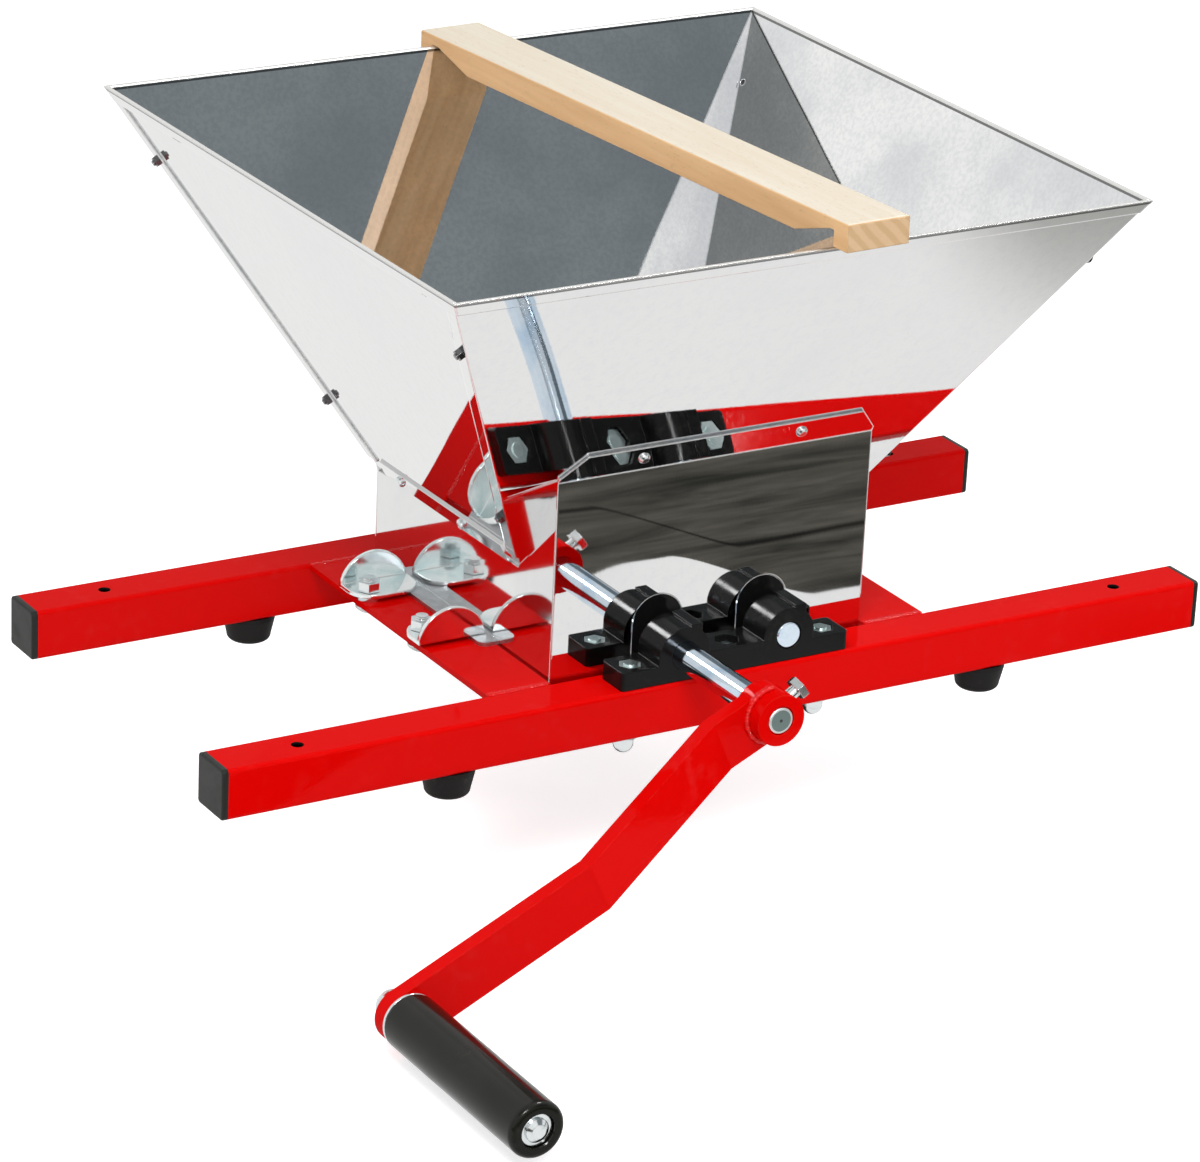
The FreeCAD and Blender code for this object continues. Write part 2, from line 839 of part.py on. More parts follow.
def panel_screw_points():
    """Where each screw's head meets its flange, with the direction that it points."""
    points = []
    for end, slope, throat, inner in ((-1, front_slope, S.throat_front, panel_front_inner),
                                      (1, back_slope, panel_back_inner, panel_back_inner)):
        lean = S.sheet * root(1 + slope * slope)
        bend = S.throat_height + (inner - throat) / slope
        z = bend + S.panel_flange / 2
        y = throat + slope * (z - S.throat_height) + lean
        for side in (-1, 1):
            points.append((side * S.panel_screw_spacing / 2, end * y, z,
                           Vector(0, end, -slope.value)))
    lean = S.sheet * root(1 + side_slope * side_slope)
    z = S.throat_height + S.wall_flange / 2
    x = chamber_side_inner + side_slope * S.wall_flange / 2 + lean
    for side in (-1, 1):
        for share in WALL_SCREW_SHARES:
            y = -S.throat_front + (S.throat_front + panel_back_inner) * share
            points.append((side * x, y, z, Vector(side, 0, -side_slope.value)))
    return points


def make_panel_screws():
    screws = [panel_screw(*point) for point in panel_screw_points()]
    keep(gather("panel_screws", screws), "panel_screws")


def drill_for_panel_screws():
    """Drills every sheet that a panel screw passes through."""
    tools = []
    for x, y, z, direction in panel_screw_points():
        length = S.sheet * 6
        unit = Vector(direction).normalize()
        turn = Rotation(Vector(0, 0, 1), direction)
        tools.append(cylinder("panel_drill", S.panel_screw_dia / 2 + S.screw_clearance, length,
                              x - unit.x * length / 2, y - unit.y * length / 2,
                              z - unit.z * length / 2, turn))
    targets = {"hopper_front_wall": tools[0:2], "chamber_front_panel": tools[0:2],
               "hopper_back_wall": tools[2:4], "chamber_back_panel": tools[2:4],
               "hopper_left_wall": tools[4:6], "chamber_left_wall": tools[4:6],
               "hopper_right_wall": tools[6:8], "chamber_right_wall": tools[6:8]}
    for index, node in enumerate(NODES):
        if node.Label in targets:
            label = node.Label
            node.Label = label + "_undrilled"
            drilled = cut_away(label, node, targets[label])
            drilled.Label = label
            NODES[index] = drilled


# Bearing blocks: one plastic moulding on each rail carries both shafts. Two arched
# housings, ears and a middle web, with a bolt in each ear and in the web.
def make_bearing_block(label, end):
    body = new_body(label)
    half = S.block_length / 2
    start = -block_y - S.block_depth / 2
    depth = S.block_depth
    arch = S.block_arch_radius
    axis = S.shaft_height
    ear, web = S.block_ear_height, S.block_web_height
    near, far, rib = S.block_rib_near, S.block_rib_far, S.block_rib_top

    def housing(x):
        """From the right foot of one arch over its rib to its left foot."""
        return [(x + arch, axis), (x + far, axis + root(arch * arch - far * far), arch, 1),
                (x + far, axis + rib), (x + near, axis + rib),
                (x + near, axis + root(arch * arch - near * near)), (x - arch, axis, arch, 1)]

    profile = [(-half, 0), (half, 0), (half, ear), (shaft_x + arch, ear), *housing(shaft_x),
               (shaft_x - arch, web), (arch - shaft_x, web), *housing(-shaft_x),
               (-shaft_x - arch, ear), (-half, ear)]
    pad(body, "XZ_Plane", start, depth, [profile])

    def upright(edge):
        return runs_along(edge, Vector(0, 0, 1)) and abs(abs(edge.CenterOfMass.x) - half.value) < 1e-6

    round_edges(body, S.block_corner, upright)
    bore = shaft_radius + S.running_clearance
    bores = [(side * shaft_x, axis, bore) for side in (-1, 1)]
    pocket(body, "XZ_Plane", start - OVERCUT, depth + 2 * OVERCUT, circles=bores)
    bolts = [(x, -block_y, S.block_bolt_dia / 2 + S.bolt_clearance) for x in bolt_xs]
    pocket(body, "XY_Plane", -OVERCUT, S.block_web_height + 2 * OVERCUT, circles=bolts)
    flats = S.block_bolt_dia * HEX_FLATS + 2 * S.block_pocket_gap
    floor = ear - S.block_pocket_depth
    for x, top in zip(bolt_xs, (ear, web, ear)):
        pocket(body, "XY_Plane", floor, top - floor + OVERCUT,
               [hexagon(x, -block_y, flats)])
    if end > 0:
        # The back block is the front one turned half round about Z.
        place(body, turn=Rotation(Vector(0, 0, 1), 180))
    keep(body, label)


# Block bolts: round-headed bolts from below the rail, with hex nuts sunk in the blocks.
def make_block_fasteners():
    bolts, nuts = [], []
    seat = S.block_ear_height - S.block_pocket_depth
    top = S.block_ear_height + S.thread_end / 4
    for end in (-1, 1):
        y = end * block_y
        for x in bolt_xs:
            bolts.append(domed_bolt("block_bolt", S.block_bolt_dia, -S.rail_side, top, x, y))
            nuts.append(hex_nut("block_nut", S.block_bolt_dia, x, y, seat, UP))
    keep(gather("block_bolts", bolts), "block_bolts")
    keep(gather("block_nuts", nuts), "block_nuts")


# Shafts: round bar with a long keyway for the blades, a short one for the gear and a groove
# for the retaining ring. The drive shaft runs on to the crank.
blade_zone_start = -(panel_front_inner - 1)
blade_zone_end = panel_back_inner - 1
key_depth = S.key_width / 2


def make_shaft(label, side, front):
    body = new_body(label)
    x = side * shaft_x
    length = front + shaft_back
    pad(body, "XZ_Plane", -front, length, circles=[(x, S.shaft_height, shaft_radius)])

    def front_rim(edge):
        return isinstance(edge.Curve, Part.Circle) and edge.CenterOfMass.y < -front.value + 1e-6

    round_edges(body, S.shaft_chamfer, front_rim, "Chamfer")
    floor = S.shaft_height + shaft_radius - key_depth
    half = S.key_width / 2
    slot = rectangle(x - half, floor, x + half, S.shaft_height + shaft_radius + OVERCUT)
    pocket(body, "XZ_Plane", blade_zone_start, blade_zone_end - blade_zone_start, [slot])
    pocket(body, "XZ_Plane", gear_start, S.gear_thickness, [slot])
    groove = [(x, S.shaft_height, shaft_radius + OVERCUT),
              (x, S.shaft_height, shaft_radius - S.ring_groove)]
    pocket(body, "XZ_Plane", gear_end, S.ring_thickness, circles=groove)
    keep(body, label)


def make_keys(name, side):
    x = side * shaft_x - S.key_width / 2
    z = S.shaft_height + shaft_radius - key_depth
    long_key = block(name + "_blade_key", S.key_width, blade_zone_end - blade_zone_start,
                     S.key_width, x, blade_zone_start, z)
    keep(long_key, name + "_blade_key")
    short_key = block(name + "_gear_key", S.key_width, S.gear_thickness, S.key_width,
                      x, gear_start, z)
    keep(short_key, name + "_gear_key")


def key_notch():
    half = S.key_width / 2
    return rectangle(-half, 0, half, shaft_radius + key_depth)


# Retaining rings: split spring rings in the shaft grooves, behind the gears.
def make_ring(label, side):
    body = new_body(label)
    x = side * shaft_x
    bore = shaft_radius - S.ring_groove
    rim = shaft_radius + S.ring_height
    half = S.ring_opening / 2
    pad(body, "XZ_Plane", gear_end, S.ring_thickness,
        circles=[(x, S.shaft_height, rim), (x, S.shaft_height, bore)])
    gap = rectangle(x - half, S.shaft_height - rim - OVERCUT, x + half, S.shaft_height)
    pocket(body, "XZ_Plane", gear_end - OVERCUT, S.ring_thickness + 2 * OVERCUT, [gap])
    keep(body, label)


# Blades: star wheels with hooked teeth, keyed on each shaft. The wheels of one shaft run
# midway between those of the other. A hook's shape is given in shares of its step round the
# wheel and of the wheel's radii.
HOOK_FOOT = 0.96
HOOK_TIP_START = 0.20
HOOK_TIP_END = 0.34
HOOK_BACK = 0.60
HOOK_CURVE = 0.7


def blade_starts(side):
    shift = as_size(0) if side < 0 else S.blade_pitch / 2
    first = S.first_blade + shift - S.blade_thickness / 2
    return [first + S.blade_pitch * index for index in range(BLADES_PER_SHAFT)]


def make_blade(name, start, side):
    """A wheel about its own Y axis. Its hooks lean the way that the shaft turns."""
    body = new_body(name)
    root_radius, tip_radius = S.blade_root_dia / 2, S.blade_dia / 2
    bore = shaft_radius + S.running_clearance
    pad(body, "XZ_Plane", 0, S.blade_thickness,
        circles=[(0, 0, root_radius), (0, 0, bore)])
    step = math.radians(360 / HOOKS_PER_BLADE)

    def polar(radius, angle):
        return radius * math.cos(angle), side * radius * math.sin(angle)

    hook = [polar(root_radius * HOOK_FOOT, 0), polar(tip_radius, step * HOOK_TIP_END),
            polar(tip_radius, step * HOOK_TIP_START),
            polar(root_radius * HOOK_FOOT, -step * HOOK_BACK) + (tip_radius * HOOK_CURVE, -side)]
    tooth = pad(body, "XZ_Plane", 0, S.blade_thickness, [hook])
    pattern = body.newObject("PartDesign::PolarPattern", "hooks")
    pattern.Originals = [tooth]
    pattern.Axis = (tooth.Profile[0], ["N_Axis"])
    pattern.Angle = 360
    pattern.Occurrences = HOOKS_PER_BLADE
    body.Tip = pattern
    pocket(body, "XZ_Plane", -OVERCUT, S.blade_thickness + 2 * OVERCUT, [key_notch()])
    return place(body, side * shaft_x, start, S.shaft_height)


def make_spacer(name, start, length, side):
    body = new_body(name)
    bore = shaft_radius + S.running_clearance
    pad(body, "XZ_Plane", 0, length, circles=[(0, 0, S.spacer_dia / 2), (0, 0, bore)])
    pocket(body, "XZ_Plane", -OVERCUT, length + 2 * OVERCUT, [key_notch()])
    return place(body, side * shaft_x, start, S.shaft_height)


def make_rotor(name, side):
    starts = blade_starts(side)
    blades = [make_blade(name + "_blade", start, side) for start in starts]
    keep(gather(name + "_blades", blades), name + "_blades")
    edges = [blade_zone_start]
    for start in starts:
        edges += [start, start + S.blade_thickness]
    edges.append(blade_zone_end)
    spacers = [make_spacer(name + "_spacer", edges[index], edges[index + 1] - edges[index], side)
               for index in range(0, len(edges), 2)]
    keep(gather(name + "_spacers", spacers), name + "_spacers")


# Gears: a pair of equal spur gears outside the back block makes the shafts turn against
# each other. Involute flanks of 20 degrees, each drawn as one arc.
PRESSURE_ANGLE = math.radians(20)


def gear_face():
    module = S.shaft_spacing.value / GEAR_TEETH
    pitch_radius = module * GEAR_TEETH / 2
    base_radius = pitch_radius * math.cos(PRESSURE_ANGLE)
    tip_radius = pitch_radius + module
    root_radius = pitch_radius - 1.25 * module
    half_tooth = math.pi / (2 * GEAR_TEETH) - S.gear_backlash.value / 2 / pitch_radius
    involute_at_pitch = math.tan(PRESSURE_ANGLE) - PRESSURE_ANGLE

    def flank_angle(radius):
        if radius <= base_radius:
            return half_tooth + involute_at_pitch
        slant = math.acos(base_radius / radius)
        return half_tooth + involute_at_pitch - (math.tan(slant) - slant)

    def point(radius, angle):
        return Vector(radius * math.cos(angle), 0, radius * math.sin(angle))

    edges = []
    pitch = 2 * math.pi / GEAR_TEETH
    for index in range(GEAR_TEETH):
        middle = index * pitch
        rise = [point(radius, middle - flank_angle(radius))
                for radius in (root_radius, (root_radius + tip_radius) / 2, tip_radius)]
        fall = [point(radius, middle + flank_angle(radius))
                for radius in (tip_radius, (root_radius + tip_radius) / 2, root_radius)]
        next_root = point(root_radius, middle + pitch - flank_angle(root_radius))
        edges.append(Part.Arc(*rise).toShape())
        edges.append(Part.makeLine(rise[2], fall[0]))
        edges.append(Part.Arc(*fall).toShape())
        edges.append(Part.makeLine(fall[2], next_root))
    return Part.Face(Part.Wire(edges))


def make_gear(label, side):
    body = document.addObject("Part::Feature", label + "_blank")
    thickness = S.gear_thickness.value
    wheel = gear_face().extrude(Vector(0, thickness, 0))
    bore_radius = shaft_radius.value + S.running_clearance.value
    bore = Part.makeCylinder(bore_radius, thickness, Vector(), Vector(0, 1, 0))
    half, top = S.key_width.value / 2, shaft_radius.value + key_depth.value
    notch = Part.makeBox(2 * half, thickness, top, Vector(-half, 0, 0))
    wheel = wheel.cut(bore.fuse(notch))
    body.Shape = wheel
    place(body, side * shaft_x, gear_start, S.shaft_height)
    keep(body, label)


# Crank: a hub tube on the drive shaft, held by a set bolt, and a flat bar welded to it that
# is set out towards the hand and ends in a turning grip.
crank_x = -shaft_x
SET_BOLT_TURN = Rotation(Vector(0, 1, 0), 56)
set_bolt_y = S.hub_front - S.hub_length / 2


def place_on_arm(item):
    """Places an item drawn about the crank axis, with the arm along +X, at its rest angle."""
    item.Placement = FreeCAD.Placement(Vector(), Rotation(Vector(0, 1, 0), 155))
    bind(item, "Placement.Base.x", crank_x)
    bind(item, "Placement.Base.z", S.shaft_height)
    item.setExpression("Placement.Rotation.Angle", "180 - Sizes.arm_rest_angle")
    return item


def make_hub():
    body = new_body("crank_hub")
    pad(body, "XZ_Plane", -S.hub_front, S.hub_length,
        circles=[(0, 0, S.hub_dia / 2), (0, 0, shaft_radius)])
    pocket(body, "XY_Plane", 0, S.hub_dia / 2 + OVERCUT,
           circles=[(0, -set_bolt_y, S.set_bolt_dia / 2)])
    place(body, crank_x, 0, S.shaft_height, SET_BOLT_TURN)
    keep(body, "crank_hub")


arm_front = S.hub_front - S.arm_setback
arm_out_front = arm_front + S.arm_joggle


def make_arm():
    body = new_body("crank_arm")
    t = S.arm_thickness
    run = S.arm_bend_end - S.arm_straight
    slant = root(run * run + S.arm_joggle * S.arm_joggle)
    # Shift of the inner bend corners that keeps the bar's thickness through the joggle.
    shift = t * (slant - run) / S.arm_joggle
    half = S.arm_width / 2
    end = S.crank_radius + half
    cope = S.hub_dia / 4
    profile = [(cope, -arm_front), (S.arm_straight, -arm_front), (S.arm_bend_end, -arm_out_front),
               (end, -arm_out_front), (end, t - arm_out_front),
               (S.arm_bend_end + shift, t - arm_out_front),
               (S.arm_straight + shift, t - arm_front), (cope, t - arm_front)]
    pad(body, "XY_Plane", -half, S.arm_width, [profile])

    def end_edge(edge):
        return runs_along(edge, Vector(0, 1, 0)) and abs(edge.CenterOfMass.x - end.value) < 1e-6

    round_edges(body, half * 0.999, end_edge)
    hub = [(0, 0, S.hub_dia / 2)]
    pocket(body, "XZ_Plane", -arm_front - OVERCUT, t + 2 * OVERCUT, circles=hub)
    bolt = [(S.crank_radius, 0, S.grip_bolt_dia / 2)]
    pocket(body, "XZ_Plane", -arm_out_front - OVERCUT, t + 2 * OVERCUT, circles=bolt)
    place_on_arm(body)
    keep(body, "crank_arm")


def make_set_bolt():
    """Screws into the hub from the upper right and bears on the shaft."""
    body = new_body("hub_set_bolt")
    under = S.hub_dia / 2 + S.set_bolt_stand
    pad(body, "XY_Plane", shaft_radius, under - shaft_radius,
        circles=[(0, -set_bolt_y, S.set_bolt_dia / 2)])
    pad(body, "XY_Plane", under, S.set_bolt_dia * 0.6,
        [hexagon(0, -set_bolt_y, S.set_bolt_dia * HEX_FLATS)])
    place(body, crank_x, 0, S.shaft_height, SET_BOLT_TURN)
    keep(body, "hub_set_bolt")


grip_start = arm_out_front + S.washer_thickness + S.seat_gap


def make_grip():
    radius, bore = S.grip_dia / 2, S.grip_bolt_dia / 2 + S.running_clearance
    length = S.grip_length
    counterbore = S.grip_counterbore_dia / 2
    edge, round_end = S.grip_edge, S.grip_round
    outline = [
        (bore, 0),
        (radius - edge, 0),
        (radius, edge, edge, 1),
        (radius, length - round_end),
        (radius - round_end, length, round_end, 1),
        (counterbore, length),
        (counterbore, length - S.grip_recess),
        (bore, length - S.grip_recess),
    ]
    body = turned("crank_grip", outline)
    place_grip_piece(body, grip_start)
    keep(body, "crank_grip")


def place_grip_piece(item, start):
    """Stands a turned piece on the crank pin's axis, pointing to the front from start."""
    start = as_size(start)
    angle = "Sizes.arm_rest_angle"
    radius = S.crank_radius
    turn = math.radians(S.arm_rest_angle.value)
    x = Size("(%s - %s * cos(%s))" % (crank_x.text, radius.text, angle),
             crank_x.value - radius.value * math.cos(turn))
    z = Size("(%s - %s * sin(%s))" % (S.shaft_height.text, radius.text, angle),
             S.shaft_height.value - radius.value * math.sin(turn))
    item.Placement = FreeCAD.Placement(Vector(), FRONT)
    bind(item, "Placement.Base.x", x)
    bind(item, "Placement.Base.y", -start)
    bind(item, "Placement.Base.z", z)
    return item


def make_grip_bolt():
    radius = S.grip_bolt_dia / 2
    inside = S.grip_length - S.grip_recess
    back = S.arm_thickness + S.grip_bolt_dia
    end = grip_start - arm_out_front + inside + S.washer_thickness
    head = S.grip_bolt_dia * 0.7
    outline = [
        (0, -back),
        (radius - S.bolt_chamfer, -back),
        (radius, S.bolt_chamfer - back),
        (radius, end),
        (head, end),
        (head, end + S.grip_head_edge),
        (head * 0.6, end + S.grip_head_height),
        (0, end + S.grip_head_height),
    ]
    body = turned("grip_bolt", outline)
    place_grip_piece(body, arm_out_front)
    keep(body, "grip_bolt")
    washers = []
    for start, width, play in ((arm_out_front, S.grip_washer_dia, as_size(0)),
                               (grip_start + inside, S.grip_end_washer_dia, S.grip_end_play)):
        washer = turned("grip_washer", rectangle(radius, play, width / 2, S.washer_thickness))
        washers.append(place_grip_piece(washer, start))
    keep(gather("grip_washers", washers), "grip_washers")
    body = new_body("grip_nut")
    thickness = S.grip_bolt_dia * NUT_HEIGHT
    pad(body, "XY_Plane", 0, thickness, [hexagon(0, 0, S.grip_bolt_dia * HEX_FLATS)],
        [(0, 0, radius)])
    place_grip_piece(body, arm_out_front - S.arm_thickness - thickness)
    keep(body, "grip_nut")


# Clamps: pressed wings that turn on a bolt and hold the chamber's tabs down on the cross
# plates. A flat lobe reaches over the tab and a rounded wing stands up along the crease.
def make_clamp(label, side, end):
    body = new_body(label)
    inner = S.clamp_width - S.clamp_outer
    left, right = (-S.clamp_outer, inner) if side < 0 else (-inner, S.clamp_outer)
    crease, free = end * S.clamp_crease, end * (S.clamp_crease - S.clamp_depth)
    low, high = (free, crease) if end > 0 else (crease, free)
    t = S.clamp_sheet
    pad(body, "XY_Plane", 0, t, [rectangle(left, low, right, high)])

    def lobe_corner(edge):
        return runs_along(edge, Vector(0, 0, 1)) and abs(edge.CenterOfMass.y - free.value) < 1e-6

    round_edges(body, S.clamp_corner, lobe_corner)
    rise = S.clamp_upright
    half = S.clamp_width / 2
    wing_radius = (half * half + rise * rise) / (2 * rise)
    wing = [(left, t / 2), (right, t / 2), (right, t), (left, t, wing_radius, 1)]
    start = crease - t if end > 0 else crease
    pad(body, "XZ_Plane", start, t, [wing])
    hole = [(0, 0, S.clamp_bolt_dia / 2 + S.running_clearance)]
    pocket(body, "XY_Plane", -OVERCUT, t + 2 * OVERCUT, circles=hole)
    y = S.clamp_centre_y + end * S.clamp_pivot_spacing / 2
    place(body, side * S.clamp_pivot_x, y, clamp_level)
    keep(body, label)


def make_clamp_fasteners():
    bolts, nuts, washers = [], [], []
    radius = S.clamp_bolt_dia / 2
    seat = clamp_level + S.clamp_sheet + S.clamp_play
    top = seat + S.clamp_bolt_dia * NUT_HEIGHT + S.thread_end
    ring = rectangle(radius, 0, radius * 2, S.tab_thickness)
    for side in (-1, 1):
        x = side * S.clamp_pivot_x
        for end in (-1, 1):
            y = S.clamp_centre_y + end * S.clamp_pivot_spacing / 2
            bolts.append(domed_bolt("clamp_bolt", S.clamp_bolt_dia, -S.plate_thickness, top, x, y))
            washers.append(turned("clamp_washer", ring, x, y, 0))
            nuts.append(hex_nut("clamp_nut", S.clamp_bolt_dia, x, y, seat, UP))
    keep(gather("clamp_bolts", bolts), "clamp_bolts")
    keep(gather("clamp_washers", washers), "clamp_washers")
    keep(gather("clamp_nuts", nuts), "clamp_nuts")


# Wooden bar: lies loose across the hopper. It is notched near both ends; the back notch
# sits over the back rim and the front lip stands on the front rim.
def make_bar():
    """Drawn from the front lip's inner face, with its top on the body's own XY plane."""
    body = new_body("wooden_bar")
    half = S.bar_width / 2
    depth, web, lip, shoulder = S.bar_depth, S.bar_web, S.bar_lip, S.bar_shoulder
    far_rim = S.rim_depth - S.bar_overlap
    notch_start, notch_end = far_rim - S.bar_notch / 2, far_rim + S.bar_notch / 2
    near_flat = S.bar_near_flat
    profile = [
        (-lip, -depth), (0, -depth), (0, -web), (near_flat, -web),
        (near_flat + shoulder, -depth), (notch_start - shoulder, -depth),
        (notch_start, -web), (notch_end, -web), (notch_end, -depth),
        (notch_end + lip, -depth), (notch_end + lip, 0), (-lip, 0),
    ]
    pad(body, "YZ_Plane", -half, S.bar_width, [profile])

    def top_edge(edge):
        return abs(edge.CenterOfMass.z) < 1e-6

    round_edges(body, S.bar_edge_radius, top_edge)
    drop = depth.value - web.value
    tilt = -math.degrees(math.atan2(drop, far_rim.value))
    turn = Rotation(Vector(0, 0, 1), S.bar_skew.value) * Rotation(Vector(1, 0, 0), tilt)
    place(body, S.bar_centre_x, S.bar_overlap - rim_front, S.rim_height + depth + S.seat_gap, turn)
    keep(body, "wooden_bar")


def build():
    ends = {"front": -1, "back": 1}
    sides = {"left": -1, "right": 1}
    for end_name, end in ends.items():
        make_rail(end_name + "_rail", end)
    for side_name, side in sides.items():
        make_cross_plate(side_name + "_cross_plate", side)
    for end_name, end in ends.items():
        for side_name, side in sides.items():
            make_cap("rail_cap_%s_%s" % (end_name, side_name), side, end)
            make_foot("foot_%s_%s" % (end_name, side_name), side, end)
    make_foot_screws()
    for name in ("front", "back", "left", "right"):
        make_hopper_wall("hopper_%s_wall" % name, name)
    make_seam_fasteners()
    for end_name, end in ends.items():
        make_chamber_panel("chamber_%s_panel" % end_name, end)
    for side_name, side in sides.items():
        make_chamber_wall("chamber_%s_wall" % side_name, side)
    make_panel_screws()
    drill_for_panel_screws()
    for end_name, end in ends.items():
        make_bearing_block(end_name + "_bearing_block", end)
    make_block_fasteners()
    for name, side, front in (("drive", -1, S.hub_front), ("idler", 1, block_front)):
        make_shaft(name + "_shaft", side, front)
        make_keys(name, side)
        make_rotor(name, side)
        make_gear(name + "_gear", side)
        make_ring(name + "_gear_ring", side)
    make_hub()
    make_arm()
    make_set_bolt()
    make_grip()
    make_grip_bolt()
    for side_name, side in sides.items():
        for end_name, end in ends.items():
            make_clamp("clamp_%s_%s" % (side_name, end_name), side, end)
    make_clamp_fasteners()
    make_bar()


def check_and_export():
    document.recompute()
    for item in document.Objects:
        if "Invalid" in item.State or "Error" in item.State:
            raise RuntimeError("%s failed: %s" % (item.Label, item.State))
    os.makedirs("parts", exist_ok=True)
    for node in NODES:
        shape = node.Shape
        if shape.isNull() or not shape.isValid() or not shape.Solids:
            raise RuntimeError(node.Label + " has no valid solid")
        shape.exportStep("parts/%s.step" % node.Label)
        print("%-24s %2d solids %10.1f mm3" % (node.Label, len(shape.Solids), shape.Volume))


build()
check_and_export()
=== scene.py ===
# Looks of a two-shaft fruit mill: polished sheet-steel hopper, red tube frame, black plastic
# bearing blocks, a hand crank and a loose beech bar. Lengths are in metres, as in the frame.
import math

import bmesh
import bpy
from mathutils import Matrix, Vector


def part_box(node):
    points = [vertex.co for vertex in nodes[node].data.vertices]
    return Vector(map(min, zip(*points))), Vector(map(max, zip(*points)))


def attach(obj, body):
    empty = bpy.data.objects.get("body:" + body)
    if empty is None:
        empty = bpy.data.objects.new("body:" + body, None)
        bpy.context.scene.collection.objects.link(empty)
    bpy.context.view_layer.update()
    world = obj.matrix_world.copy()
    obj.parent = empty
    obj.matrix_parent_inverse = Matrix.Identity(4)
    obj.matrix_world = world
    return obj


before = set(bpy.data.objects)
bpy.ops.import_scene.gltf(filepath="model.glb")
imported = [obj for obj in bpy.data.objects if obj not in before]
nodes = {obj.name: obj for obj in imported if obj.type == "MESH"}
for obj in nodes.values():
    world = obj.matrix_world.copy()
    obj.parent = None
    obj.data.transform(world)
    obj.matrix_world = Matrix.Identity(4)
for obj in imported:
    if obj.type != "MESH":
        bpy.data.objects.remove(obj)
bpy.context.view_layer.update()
scene = bpy.context.scene
scene.view_settings.view_transform = "Standard"


# Camera: level with the rim of the hopper, from the front left and above.
CAMERA_PLACE = (-1.23224, -1.99187, 0.95580)
CAMERA_AZIMUTH = 0.55085
CAMERA_ELEVATION = 0.38621
CAMERA_ROLL = 0.04716
CAMERA_LENS = 154.54
CAMERA_SENSOR = 36


def aimed(place, right, up):
    """The matrix of a camera or lamp at place, with its image's right and up directions."""
    back = right.cross(up)
    turn = Matrix((right, up, back)).transposed().to_4x4()
    return Matrix.Translation(place) @ turn


def rolled(azimuth, elevation, roll):
    """The image's right and up directions of a camera that looks down and is rolled a little."""
    forward = Vector((math.sin(azimuth) * math.cos(elevation),
                      math.cos(azimuth) * math.cos(elevation), -math.sin(elevation)))
    right = Vector((math.cos(azimuth), -math.sin(azimuth), 0))
    up = right.cross(forward)
    return (right * math.cos(roll) + up * math.sin(roll),
            up * math.cos(roll) - right * math.sin(roll))


lens = bpy.data.cameras.new("camera")
lens.lens = CAMERA_LENS
lens.sensor_width = CAMERA_SENSOR
camera = bpy.data.objects.new("camera", lens)
scene.collection.objects.link(camera)
camera.matrix_world = aimed(CAMERA_PLACE, *rolled(CAMERA_AZIMUTH, CAMERA_ELEVATION, CAMERA_ROLL))
scene.camera = camera


# Backdrop: a white floor under the mill and white all round, under soft lamps. Polished faces
# mirror two dim areas high up and, in front, dark ground past the white floor's wavy border.
# The floor keeps the mill's shadow.
WHITE = (1, 1, 1, 1)
SURROUND_LIGHT = (0.55, 0.555, 0.57, 1)
SURROUND_MIRRORED = (0.90, 0.90, 0.89, 1)
# Direction, cosines where each area starts and is full, and colour.
DIM_AREAS = (((0.56, -0.70, 0.44), 0.940, 0.968, (0.19, 0.215, 0.225, 1)),
             ((-0.573, -0.188, 0.798), 0.950, 0.985, (0.30, 0.31, 0.30, 1)))
FLOOR_LEVEL = -0.10
FLOOR_SIZE = 12
FLOOR_COLOUR = (0.8, 0.8, 0.8, 1)
FLOOR_GLOW = 0.66
FLOOR_MIRRORED = (0.95, 0.95, 0.94, 1)
BORDER_Y = -0.416
BORDER_WAVE = 0.012
BORDER_SOFT = 0.002
# Where the border bends, along X, and how far it then lies nearer to the front.
BORDER_BENDS = ((0.18, 0.225, 0, 0.085), (0.09, 0.16, 0.018, 0))
GROUND_DARK = (0.030, 0.030, 0.026, 1)
GROUND_LIGHT = (0.115, 0.108, 0.092, 1)
# A thin dark line runs along the ground, this far past the border.
LINE_PAST = 0.085
LINE_COLOUR = (0.008, 0.008, 0.008, 1)
# A patch of painted shade on the floor at the right, mirrored grey: its side, front and back
# borders.
PAINTED_SHADE_SIDE = (0.27, 0.38)
PAINTED_SHADE_FRONT = (-0.31, -0.27)
PAINTED_SHADE_BACK = (-0.22, -0.13)
PAINTED_SHADE_COLOUR = (0.42, 0.42, 0.40, 1)
# The floor's shaded part below the chamber, from full shade to none.
SHADE_FULL = 0.060
SHADE_END = 0.095
SHADE_COLOUR = (0.02, 0.02, 0.02, 1)
MILL_MIDDLE = (0, 0, 0.05)
WARM_WHITE = (1.0, 0.99, 0.97)
COOL_WHITE = (0.96, 0.98, 1.0)
# Place, size and power of the soft boxes that only show as highlights on round and bent parts.
SOFT_BOXES = (((-0.81, -2.1, 1.5), 0.45, 30), ((1.1, -0.4, 2.2), 0.4, 22))


def node(tree, kind, settings=None, **inputs):
    """A node with its settings, and its inputs by name with _ for a space."""
    item = tree.nodes.new("ShaderNode" + kind)
    for key, value in (settings or {}).items():
        setattr(item, key, value)
    for key, value in inputs.items():
        put(tree, item.inputs[key.replace("_", " ")], value)
    return item


def put(tree, socket, value):
    """Links a socket's value, or sets a plain one."""
    if isinstance(value, bpy.types.NodeSocket):
        tree.links.new(value, socket)
    else:
        socket.default_value = value


def compute(tree, operation, *values):
    item = node(tree, "Math", {"operation": operation})
    for socket, value in zip(item.inputs, values):
        put(tree, socket, value)
    return item.outputs[0]


